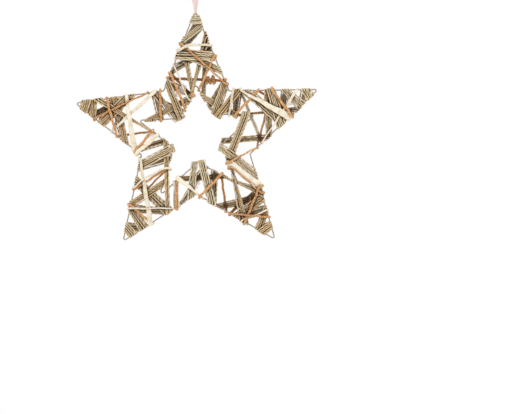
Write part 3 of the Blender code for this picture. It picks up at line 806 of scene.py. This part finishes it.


# A band of twisted cords side by side, on a flat dark sheet: painted shade showing between them.
def dressTwine(name, sections):
    left, right, depth, along = edgeLines(sections, cords["step"], cords["soften"])
    wide, out, width, upright = directions(left, right)
    count = max(2, round(float(np.percentile(width, cords["usualWidth"])) / cords["spacing"]))
    lay = cords["ropeLay"] if name in cords["ropes"] else cords["lay"] * pick.uniform(*cords["layRange"])
    mesh, tube, ring, angle = straightTubes(name + "_cords", count + 1, cords["sides"], len(along))
    isShadeSheet = tube == count
    places = (np.arange(count + 1) + 0.5 + pick.uniform(-1, 1, count + 1) * cords["uneven"]) / count
    share = np.where(isShadeSheet, 0.5, places[tube])
    phase = pick.random(count + 1)[tube] * 2 * math.pi
    way = np.where(pick.random() < cords["leftTwist"], -1, 1)
    # all that follows has one value for each point of the mesh
    along, upright, half = along[ring], upright[ring], width[ring] / 2
    radius = np.clip(half / count, cords["thinnest"], cords["thickest"])
    twist = angle + way * 2 * math.pi * along / lay + phase
    wobble = cords["wobble"] * np.sin(2 * math.pi * along / cords["wobbleLength"] + 5 * phase)
    slip = cords["slip"] * upright ** 2 * (1 - 2 * share) ** 3
    strays = wobble * ~isShadeSheet + slip
    centre = left[ring] + (right - left)[ring] * share[:, None] + wide[ring] * strays[:, None]
    ply = radius * (1 - cords["groove"] * np.sin(angle) ** 2)
    flat = np.clip(depth[ring] / 2 / radius, cords["flattest"], 1)
    narrowed = (1 - cords["shadeSheetFlat"] * (1 - flat)) * (1 - cords["shadeSheetTurn"] * upright ** 2)
    shadeSheetHalf = half * cords["shadeSheetShare"] * narrowed - radius
    sideways = np.where(isShadeSheet, shadeSheetHalf * np.cos(angle), ply * np.cos(twist))
    outwards = np.where(isShadeSheet, cords["shadeSheet"] / 2 * flat ** 2 * np.sin(angle), ply * flat * np.sin(twist))
    points = offLine(centre, wide[ring], sideways, out[ring], outwards)
    # painted shade where cords meet and between plies, and all over the dark sheet
    meets = np.abs(np.cos(twist)) ** 3
    free = ((tube == 0) & (np.cos(twist) < 0)) | ((tube == count - 1) & (np.cos(twist) > 0))
    meets = np.where(free, cords["freeSeam"] * meets, meets)
    hollow = np.where(isShadeSheet, 1, np.maximum(cords["seam"] * meets, cords["plySeam"] * np.sin(angle) ** 4))
    offset = pick.random(count + 1)[tube]
    batch = pick.random() * 0.5 + pick.random(count + 1)[tube] * 0.5
    straight = np.column_stack((ply * np.cos(angle), ply * np.sin(angle), along + offset))
    setAttributes(mesh, straight=straight, hollow=hollow, tint=batch)
    dressed.append((mesh, points, upright))
    finishPiece(mesh, world(points), "glitter_twine", name)


yarn = {
    "thickness": 3.4 * mm, "width": 4.2 * mm, "slot": "rust_yarn", "fill": 1.06, "sides": 10,
    "step": 1.2 * mm, "soften": 1.2 * mm, "lay": 13 * mm, "creases": 2, "crease": 0.12, "seam": 0.35,
    "lumps": ((5.3 * mm, 0.07), (11 * mm, 0.07), (2.6 * mm, 0.05)), "sway": 0.4 * mm, "swayLength": 24 * mm,
    "pinch": 0.15, "hairGap": 0.7 * mm, "hairLength": 3.2 * mm, "hair": 0.1 * mm,
}
roving = {
    "thickness": 3.0 * mm, "width": 7.0 * mm, "slot": "cream_wool", "fill": 1.1, "sides": 14,
    "step": 1.6 * mm, "soften": 1.6 * mm, "lay": 160 * mm, "creases": 5, "crease": 0.09, "seam": 0.4,
    "lumps": ((9 * mm, 0.04), (23 * mm, 0.07)), "sway": 0.5 * mm, "swayLength": 41 * mm,
    "pinch": 0.35, "hairGap": 1.4 * mm, "hairLength": 4 * mm, "hair": 0.07 * mm,
}
spun = {  # what both kinds share
    "evenReach": 7 * mm,  # a strand is no wider where it turns around a wire than so far on either side
    "lumpRatio": 1.31,  # between the two waves of a lump
    "creaseEdge": 0.6,
    "taper": 2 * mm,
    "bluntEnd": 0.55,
}


# One strand of wool: lumpy, flattened to its width, with a few creases along it.
def dressWool(name, sections, kind):
    left, right, depth, along = edgeLines(sections, kind["step"], kind["soften"])
    wide, out, width, upright = directions(left, right)
    rings = len(along)
    mesh, tube, ring, angle = straightTubes(name + "_strand", 1, kind["sides"], rings)
    reach = int(spun["evenReach"] / kind["step"])
    for measure in (np.min, np.mean):
        padded = np.pad(width, reach, mode="edge")
        width = np.array([measure(padded[at:at + 2 * reach + 1]) for at in range(rings)])
    twist = angle + 2 * math.pi * along[ring] / kind["lay"]
    swell = np.zeros(len(ring))
    for length, size in kind["lumps"]:
        phases = pick.random(4) * 2 * math.pi
        wave = 2 * math.pi * along[ring] / length
        swell += size * np.sin(wave + phases[0]) * np.cos(2 * twist + phases[1])
        swell += size * np.sin(spun["lumpRatio"] * wave + phases[2]) * np.sin(3 * twist + phases[3])
    crest = np.abs(np.sin(kind["creases"] / 2 * twist))
    grow = kind["fill"] * (1 + swell) * (1 - kind["crease"] * (1 - crest ** spun["creaseEdge"]))
    half = width[ring] / 2 * grow * (1 - kind["pinch"] * upright[ring] ** 2)
    fromEnd = np.minimum(along, along[-1] - along)[ring]
    taper = np.minimum(1, fromEnd / spun["taper"] + spun["bluntEnd"])
    sway = kind["sway"] * np.sin(2 * math.pi * along / kind["swayLength"] + 6 * pick.random())
    middle = (left + right) / 2 + wide * sway[:, None]
    points = offLine(middle[ring], wide[ring], half * taper * np.cos(angle),
                     out[ring], kind["thickness"] / 2 * grow * taper * np.sin(angle))
    straight = np.column_stack((half * np.cos(twist), half * np.sin(twist), along[ring] + pick.random()))
    tint = np.full(len(ring), pick.random())
    # painted shade in the creases
    setAttributes(mesh, straight=straight, hollow=kind["seam"] * (1 - crest) ** 2, tint=tint)
    dressed.append((mesh, points, upright[ring]))
    finishPiece(mesh, world(points), kind["slot"], name)
    noteHairs(kind, middle, wide, out, width, along)
    middles[name] = middle


looseHairs = {
    "rust_yarn": [],
    "cream_wool": [],
    "root": 0.85,  # how deep they start, as a share of the strand's half width
    "spread": (0.25, 1.0),  # how far they stand off, as a share of their way along it
    "shortest": 0.4,
    "thinning": 0.6,
}


# Notes the loose hairs that stand off a strand: their roots, and which way and how far they go.
def noteHairs(kind, middle, wide, out, width, along):
    count = int(along[-1] / kind["hairGap"])
    at = pick.random(count) * along[-1]
    centre, sideways, outwards = [sampled(line, along, at) for line in (middle, wide, out)]
    turn = pick.random(count) * 2 * math.pi
    beside, above = np.cos(turn), np.sin(turn)
    half, depth = [looseHairs["root"] * size / 2 for size in (np.interp(at, along, width), kind["thickness"])]
    root = offLine(centre, sideways, half * beside, outwards, depth * above)
    onward = np.cross(sideways, outwards) * pick.choice((-1, 1), count)[:, None]
    spread = pick.uniform(*looseHairs["spread"], count)
    way = unitRows(offLine(onward, sideways, beside * spread, outwards, above * spread))
    way *= (pick.uniform(looseHairs["shortest"], 1, count) * kind["hairLength"])[:, None]
    looseHairs[kind["slot"]].append(np.hstack((root, way)))


# The hairs of one kind of wool, each a thin closed prism.
def growHairs(kind, name):
    hairs = np.vstack(looseHairs[kind["slot"]])
    mesh, tube, ring, angle = straightTubes(name, len(hairs), 3, 2)
    way = unitRows(hairs[:, 3:])
    first = unitRows(np.cross(way, (0.31, 0.52, 0.8)))
    second = np.cross(way, first)
    thick = kind["hair"] / 2 * (1 - looseHairs["thinning"] * ring)
    middle = hairs[tube, :3] + hairs[tube, 3:] * ring[:, None]
    points = offLine(middle, first[tube], thick * np.cos(angle), second[tube], thick * np.sin(angle))
    finishPiece(mesh, world(points), kind["slot"])


# sunk is the share of the painted shade of the lower layers that the coil is spared
coil = {
    "from": 10 * mm, "to": 31 * mm, "pitch": 4.4 * mm, "radius": 5.6 * mm, "flat": 0.5, "yarn": 3.6 * mm,
    "ringsPerTurn": 20, "lean": 0.25, "waver": 0.25, "bumps": 0.12, "sunk": 0.6,
}


# A length of yarn twisted into a knobbly coil around part of a strand.
def addCoil(name, around):
    line = middles[around]
    line = line[(line[:, 0] > coil["from"]) & (line[:, 0] < coil["to"])]
    turns = (coil["to"] - coil["from"]) / coil["pitch"]
    rings = int(turns * coil["ringsPerTurn"])
    turn = np.linspace(0, 2 * math.pi * turns, rings)
    centre = sampled(line, np.linspace(0, 1, len(line)), np.linspace(0, 1, rings))
    radial = np.column_stack((coil["lean"] * np.sin(0.4 * turn), np.cos(turn), coil["flat"] * np.sin(turn)))
    middle = centre + radial * (coil["radius"] * (1 + coil["waver"] * np.sin(1.7 * turn + 1)))[:, None]
    tangent = unitRows(np.gradient(middle, axis=0))
    wide = unitRows(np.cross(radial, tangent))
    out = np.cross(tangent, wide)
    mesh, tube, ring, angle = straightTubes(name, 1, yarn["sides"], rings)
    thick = coil["yarn"] / 2 * (1 + coil["bumps"] * np.sin(9 * turn[ring] + 2 * angle))
    points = offLine(middle[ring], wide[ring], thick * np.cos(angle), out[ring], thick * np.sin(angle))
    setAttributes(mesh, straight=points, tint=np.full(len(ring), 0.5))
    dressed.append((mesh, points, coil["sunk"]))
    finishPiece(mesh, world(points), "rust_yarn")
    noteHairs(yarn, middle, wide, out, np.full(rings, coil["yarn"]), distances(middle))


wisps = {
    "thickness": 0.5 * mm, "sway": 0.8 * mm, "rings": 24, "sides": 16, "ragged": 0.22, "frayed": 0.12,
    "bluntEnd": 0.03, "curl": 0.6,
    # x and y from the star's centre, length, width and degrees from level
    "places": {
        "top_arm_wisp": (-27 * mm, 77 * mm, 24 * mm, 13 * mm, 52),
        "left_arm_wisp": (-126 * mm, 61 * mm, 15 * mm, 8 * mm, -8),
        "left_elbow_wisp": (-80 * mm, 3 * mm, 19 * mm, 9 * mm, 25),
        "right_arm_wisp": (156 * mm, 58 * mm, 21 * mm, 10 * mm, 38),
        "bottom_elbow_wisp": (0, -80 * mm, 14 * mm, 8 * mm, 80),
    },
}


# A thin drawn-out tuft of wool caught between the strands.
def addWisp(name, x, y, length, width, degrees):
    mesh, tube, ring, angle = straightTubes(name, 1, wisps["sides"], wisps["rings"])
    run = np.array((math.cos(math.radians(degrees)), math.sin(math.radians(degrees)), 0))
    share = ring / (wisps["rings"] - 1)
    phases = pick.random(3) * 2 * math.pi
    edge = 1 + wisps["ragged"] * np.sin(9 * share + phases[0]) * np.cos(angle)
    edge += wisps["frayed"] * np.sin(23 * share + phases[1])
    blunt = np.clip(share, wisps["bluntEnd"], 1 - wisps["bluntEnd"])
    half = width / 2 * np.sin(math.pi * blunt) ** 0.6 * edge
    sway = wisps["sway"] * np.sin(2 * math.pi * share + phases[2])
    points = np.array((x, y, 0)) + run * ((share - 0.5) * length)[:, None]
    points = points + np.cross((0, 0, 1), run) * (half * np.cos(angle) + sway)[:, None]
    points[:, 2] += wisps["thickness"] / 2 * np.sin(angle) + sway * wisps["curl"] * np.cos(angle)
    setAttributes(mesh, straight=np.column_stack((half * np.cos(angle), sway, share * length)))
    finishPiece(mesh, world(points), "cream_wool", finish="wool_wisp")


# painted shade of the lower layers: height of empty cells, how far under the tops it is full, blur of the
# tops
shading = {"floor": -1.0 * mm, "depth": 3.3 * mm, "kernel": np.hanning(15) / np.hanning(15).sum()}


# How far each point lies under the strands around it, as an attribute: painted shade of the lower layers.
def markShade():
    tops = {}
    for face in (front, back):
        tops[face] = np.maximum(maps[face].top, shading["floor"])
        for axis in (0, 1):
            tops[face] = np.apply_along_axis(np.convolve, axis, tops[face], shading["kernel"], "same")
    for mesh, points, upright in dressed:
        spots = tuple(maps[front].cells(points[:, :2]))
        around = np.where(points[:, 2] > 0, tops[front][spots], tops[back][spots])
        shade = np.clip((around - np.abs(points[:, 2])) / shading["depth"], 0, 1)
        # strands that stand up where they turn around a wire get less of the painted shade
        setAttributes(mesh, shade=shade * (1 - upright))


dressed = []
middles = {}
outer = Wire(starCorners(wires["outerTip"], wires["outerNotch"], wires["outerStray"]))
inner = Wire(starCorners(wires["innerTip"], wires["innerNotch"], wires["innerStray"]))
maps = {front: HeightMap(), back: HeightMap()}
crossings = HeightMap()
owners = {}
# the top of the bare wire tip that the ribbon hangs on
tipRounding = wires["bendRadius"] / math.sin(outer.halfAngle(0)) - wires["bendRadius"] - wires["diameter"] / 2
tip = outer.corners[0] - np.array((0, tipRounding))

bendWire("outer_wire", outer)
bendWire("inner_wire", inner)
print("wires bent")

# Twine windings and straps, lowest first. A place on a wire is the number of the corner before it,
# clockwise from the top, and the share of the leg after that corner. Width and sideways bow in mm.
strand("top_arm_low_glitter_band", (outer, 9.24, 12), (outer, 0.46, 12), face=back)
strand("top_arm_twine_vee", (outer, 9.60, 12), (inner, 9.79, 8), (outer, 0.34, 15), (inner, 9.73, 9))
strand("top_arm_glitter_winding", (outer, 0.75, 13), (outer, 9.48, 13), (outer, 0.54, 16), (outer, 9.45, 16),
       (outer, 0.22, 11), (outer, 9.62, 12), (outer, 0.115, 18), (outer, 9.88, 18))
strand("left_arm_glitter_winding", (outer, 7.25), (outer, 8.44), (outer, 7.60, 17.5), (outer, 8.62, 18.5),
       (outer, 7.70, 14.5), (outer, 8.20, 14.5), (outer, 7.87, 17), (outer, 8.125, 18))
strand("lower_left_arm_glitter_winding", (outer, 6.70), (outer, 5.38), (outer, 6.38, 13), (outer, 5.72, 15.5),
       (outer, 6.16, 17), (outer, 5.87, 17))
strand("lower_right_arm_glitter_winding", (outer, 4.72, 12), (outer, 3.51, 17.5), (outer, 4.48, 17.5),
       (outer, 3.63, 14.5), (outer, 4.21, 14.5), (outer, 3.835, 16), (outer, 4.165, 16), face=back)
strand("right_arm_upright_glitter_band", (outer, 1.43, 13), (outer, 2.72, 12))
strand("right_arm_glitter_winding", (outer, 1.19, 16), (outer, 2.52, 16), (outer, 1.47, 14.5),
       (outer, 2.55, 14.5), (outer, 1.63, 13), (outer, 2.25, 14.5), (outer, 1.86, 17), (outer, 2.13, 17))
strand("top_arm_back_glitter_band", (outer, 0.30, 10), (inner, 0.40, 10), face=back)
strand("top_notch_glitter_band", (inner, 0.42, 13), (inner, 1.50, 14.5))
strand("left_tip_glitter_band", (outer, 8.25, 12), (inner, 7.54, 12))
strand("lower_left_glitter_band", (outer, 6.42, 13), (inner, 6.26, 12))
strand("lower_left_long_glitter_band", (inner, 7.22, 9), (outer, 5.39, 9))
strand("lower_right_inner_glitter_band", (outer, 3.45, 13), (inner, 4.24, 13))
strand("lower_right_glitter_band", (inner, 3.62, 15), (outer, 4.39, 15))
strand("right_arm_back_glitter_band", (outer, 2.30, 10), (inner, 1.62, 10), face=back)
strand("right_elbow_glitter_band", (inner, 2.92, 11), (outer, 2.74, 11), face=back)
strand("bottom_left_glitter_band", (inner, 4.82, 12), (outer, 5.20, 12), face=back)
strand("bottom_back_glitter_band", (inner, 5.50, 12), (inner, 4.35, 12), face=back)
strand("left_arm_back_glitter_band", (outer, 7.12, 12), (inner, 7.25, 11), face=back)
strand("top_elbow_glitter_strap", (inner, 1.0), (outer, 0.86), (inner, 0.72, 12))
strand("left_upper_elbow_glitter_strap", (inner, 8.94, 13), (outer, 8.90, 13), (inner, 8.55, 12))
strand("left_notch_glitter_band", (inner, 8.28, 14), (inner, 9.56, 13))
strand("top_left_elbow_glitter_strap", (inner, 9.06, 14.5), (outer, 9.13, 14.5), (inner, 9.70, 10))
strand("left_lower_elbow_glitter_strap", (inner, 7.0, 15.5), (outer, 6.87, 15.5), (inner, 6.80, 13))
strand("bottom_left_elbow_glitter_strap", (inner, 5.07, 12), (outer, 5.09, 12))
strand("bottom_right_elbow_glitter_strap", (inner, 4.92, 13), (outer, 4.80, 15), (inner, 4.58, 12))
strand("right_lower_glitter_strap", (inner, 1.86, 16), (inner, 3.46, 15))
strand("right_upper_elbow_glitter_strap", (inner, 1.10, 14.5), (outer, 1.10, 14.5), (inner, 1.60, 12))
strand("right_lower_elbow_glitter_strap", (inner, 3.07), (outer, 3.24))

# Wool over the twine
strand("top_arm_thin_rust_yarn", (outer, 0.57, 4), (inner, 0.18, 4))
strand("top_arm_long_rust_yarn", (outer, 9.58), (outer, 0.92))
strand("top_arm_cream_yarn", (outer, 9.50, 5.5, 5), (outer, 0.44, 4), (outer, 9.32, 2.5), (inner, 9.55, 2.5))
strand("top_arm_back_rust_coil", (outer, 9.16, 5), (outer, 0.88, 5), face=back)
strand("top_left_elbow_rust_yarn", (inner, 9.72), (outer, 9.22), (inner, 9.38), face=back)
strand("left_arm_cream_roving", (outer, 8.90, 7), (outer, 7.45, 4), (outer, 8.58, 5), (outer, 7.10, 9.5))
strand("left_arm_low_rust_yarn", (outer, 7.70), (outer, 8.82), (inner, 9.25))
strand("left_arm_crossing_rust_yarn", (outer, 8.40), (outer, 7.33), (inner, 7.60), (outer, 7.08))
strand("left_elbow_rust_yarn", (outer, 8.93), (inner, 8.55))
strand("left_lower_cream_roving", (inner, 7.45, 6), (outer, 7.05, 6))
strand("lower_left_rust_yarn", (outer, 5.62), (outer, 6.42), (inner, 6.50), (outer, 6.60))
strand("lower_left_thick_cream_roving", (outer, 6.95, 7), (outer, 5.62, 9))
strand("lower_left_cream_arc", (outer, 6.62, 3, 4), (inner, 6.58, 3))
strand("lower_left_thin_cream_yarn", (outer, 6.42, 3), (outer, 5.30, 3), (inner, 5.68, 5), (outer, 5.24, 5))
strand("lower_left_short_rust_yarn", (inner, 5.58), (outer, 5.28))
strand("bottom_cream_roving", (inner, 5.50, 9), (outer, 4.91, 8))
strand("bottom_rust_yarn", (outer, 4.95), (inner, 4.43), (outer, 4.62))
strand("lower_right_cream_roving", (inner, 3.47, 11), (outer, 3.37, 11), (outer, 4.42, 3), (outer, 3.66, 3))
strand("lower_right_rust_yarn", (inner, 3.57, 3.5), (outer, 3.42, 3.5), (outer, 4.40), (outer, 3.38),
       (outer, 4.57), (outer, 3.70))
strand("right_arm_thin_cream_yarn", (outer, 1.05, 4), (inner, 1.45, 4))
strand("right_arm_short_rust_yarn", (inner, 1.52), (outer, 1.33), (outer, 2.37))
strand("right_arm_cream_roving", (outer, 1.77, 5.5), (outer, 2.80, 4), (outer, 1.13, 4), (outer, 2.47, 13, 5))
strand("right_arm_crossing_rust_yarn", (outer, 2.40), (outer, 1.48), (outer, 2.90), (inner, 3.45))
print("strands wound")

addCoil("rust_coil_turns", "top_arm_back_rust_coil")
growHairs(yarn, "rust_yarn_hairs")
growHairs(roving, "cream_wool_hairs")
for name, place in wisps["places"].items():
    addWisp(name, *place)
markShade()
print("coil, hairs and wisps added")


# A smooth line through the points, with a few steps between each two of them.
def smoothCurve(points, steps):
    points = [np.array(point) * mm for point in points]
    line = []
    for index in range(len(points) - 1):
        previous = points[max(index - 1, 0)]
        here, after = points[index], points[index + 1]
        beyond = points[min(index + 2, len(points) - 1)]
        for step in range(steps):
            t = step / steps
            line.append(0.5 * (
                2 * here + (after - previous) * t
                + (2 * previous - 5 * here + 4 * after - beyond) * t * t
                + (3 * here - previous - 3 * after + beyond) * t ** 3
            ))
    line.append(points[-1])
    return np.array(line)


ribbon = {
    "width": 5.5 * mm, "thickness": 0.3 * mm, "sides": 16, "hem": 3, "steps": 4, "cup": 0.05,
    # x, y, z and width in mm, down the front of the loop, and through the wire tip
    "front": [
        (-1.7, -1.3, 2.7, 4.6), (-2.0, -1.4, -3, 5.0), (-2.6, -1.5, -10, 5.5), (-3.2, -1.6, -20, 5.5),
        (-3.6, -1.7, -32, 5.5), (-3.5, -1.8, -44, 5.5), (-3.0, -2.0, -56, 5.3), (-2.2, -2.5, -67, 4.8),
        (-1.2, -2.9, -75, 4.0), (-0.5, -3.0, -81, 3.2), (-0.2, -2.5, -84.8, 3.0), (0, -1.3, -86.8, 3.0),
    ],
    "bottom": [(0, 0, -87.2, 3.0)],
}


# A flat ribbon along a line of x, y, z and width, cupped a little. It lies flat on the knot that it is tied
# into, and elsewhere its width is along X.
def ribbonStrip(name, line, cup, tied=False):
    rings = len(line)
    mesh, tube, ring, angle = straightTubes(name, 1, ribbon["sides"], rings)
    middle = line[:, :3]
    tangent = unitRows(np.gradient(middle, axis=0))
    wide = np.cross(tangent, middle - middle.mean(axis=0)) if tied else np.tile((1.0, 0, 0), (rings, 1))
    wide = unitRows(squareTo(tangent, wide))
    out = np.cross(tangent, wide)
    offset = np.cos(angle)
    bent = cup * (np.cos(math.pi * offset) + 0.5) * line[ring, 3]
    level = np.sign(np.sin(angle)) * np.minimum(1, ribbon["hem"] * np.abs(np.sin(angle)))
    points = offLine(middle[ring], wide[ring], line[ring, 3] / 2 * offset,
                     out[ring], bent + level * ribbon["thickness"] / 2)
    straight = np.column_stack((offset * ribbon["width"] / 2, 0 * angle, distances(middle)[ring]))
    setAttributes(mesh, straight=straight)
    return mesh, points


knot = {
    "width": 7.6 * mm, "depth": 4.2 * mm, "height": 6.4 * mm, "middle": 7 * mm, "ribbon": 3.4 * mm,
    "overlap": 1.03, "rings": 90, "cup": 0.04, "ruffle": 0.15,
    # x, y, z and width in mm, of the right tail
    "tail": [(0.5, 0.3, 7.2, 2.4), (1.2, 0.6, 9.6, 2.8), (3.0, 1.0, 16.6, 4.4), (6.3, 0.4, 24.2, 5.4)],
    "tailSteps": 6, "tailCup": 0.07,
}


# The knot: the ribbon wound through itself in three lobes, with two short tails that spread above it.
def tieKnot():
    turn = np.linspace(0, 2 * math.pi * knot["overlap"], knot["rings"])
    lobes = np.column_stack((
        knot["width"] / 2 * (np.sin(turn) + 2 * np.sin(2 * turn)) / 2.8,
        -knot["depth"] / 2 * np.sin(3 * turn),
        knot["middle"] + knot["height"] / 2 * (np.cos(turn) - 2 * np.cos(2 * turn) - 0.5) / 2.5,
        knot["ribbon"] * (1 + knot["ruffle"] * np.sin(5 * turn)),
    ))
    wound = ribbonStrip("ribbon_knot_organza", lobes, knot["cup"], tied=True)
    pieces = [finishPiece(*wound, "sheer_ribbon", "ribbon_knot")]
    for side, name in ((-1, "left"), (1, "right")):
        points = [(side * x, side * y, z, width) for x, y, z, width in knot["tail"]]
        line = smoothCurve(points, knot["tailSteps"])
        tail = ribbonStrip(name + "_tail_organza", line, knot["tailCup"])
        pieces.append(finishPiece(*tail, "sheer_ribbon"))
    return pieces


behind = [(-x, -y, z, width) for x, y, z, width in reversed(ribbon["front"])]
loop = smoothCurve(ribbon["front"] + ribbon["bottom"] + behind, ribbon["steps"])
hung = ribbonStrip("hanging_ribbon_organza", loop, ribbon["cup"])
hung = finishPiece(*hung, "sheer_ribbon", "hanging_ribbon")
knotPieces = tieKnot()

# Studio: white surroundings, one broad soft light in front and above, a weak one from the right
studio = {
    "air": 1.0,
    "aim": (0, 0, -0.29),
    # place, size and watts
    "lights": {"key": ((-0.9, -2.2, 1.1), 1.6, 9), "side": ((2.0, -1.4, 0.2), 1.2, 3)},
    "floor": "#F4F2EF",
    "floorReach": 1.5,
    "floorDrop": 1.15,
}
surroundings = bpy.data.worlds.new("studio")
bpy.context.scene.world = surroundings
surroundings.use_nodes = True
sky = surroundings.node_tree.nodes["Background"]
sky.inputs["Color"].default_value = (1, 1, 1, 1)
sky.inputs["Strength"].default_value = studio["air"]
for name, (place, size, watts) in studio["lights"].items():
    lamp = bpy.data.lights.new(name, "AREA")
    lamp.size = size
    lamp.energy = watts
    stand = addObject(name, lamp)
    stand.location = place
    stand.rotation_euler = (Vector(studio["aim"]) - Vector(place)).to_track_quat("-Z", "Y").to_euler()

ground = bmesh.new()
bmesh.ops.create_grid(ground, x_segments=1, y_segments=1, size=studio["floorReach"])
bmesh.ops.translate(ground, verts=ground.verts, vec=(0, 0, -studio["floorDrop"]))
floorMesh = bpy.data.meshes.new("studio_floor")
ground.to_mesh(floorMesh)
ground.free()
floorMesh.materials.append(newMaterial("pale_floor", Roughness=0.9, Base_Color=colour(studio["floor"]))[0])
addObject("studio_floor", floorMesh)
bpy.context.scene.view_settings.view_transform = "Standard"
print("studio lit")

bpy.context.view_layer.update()
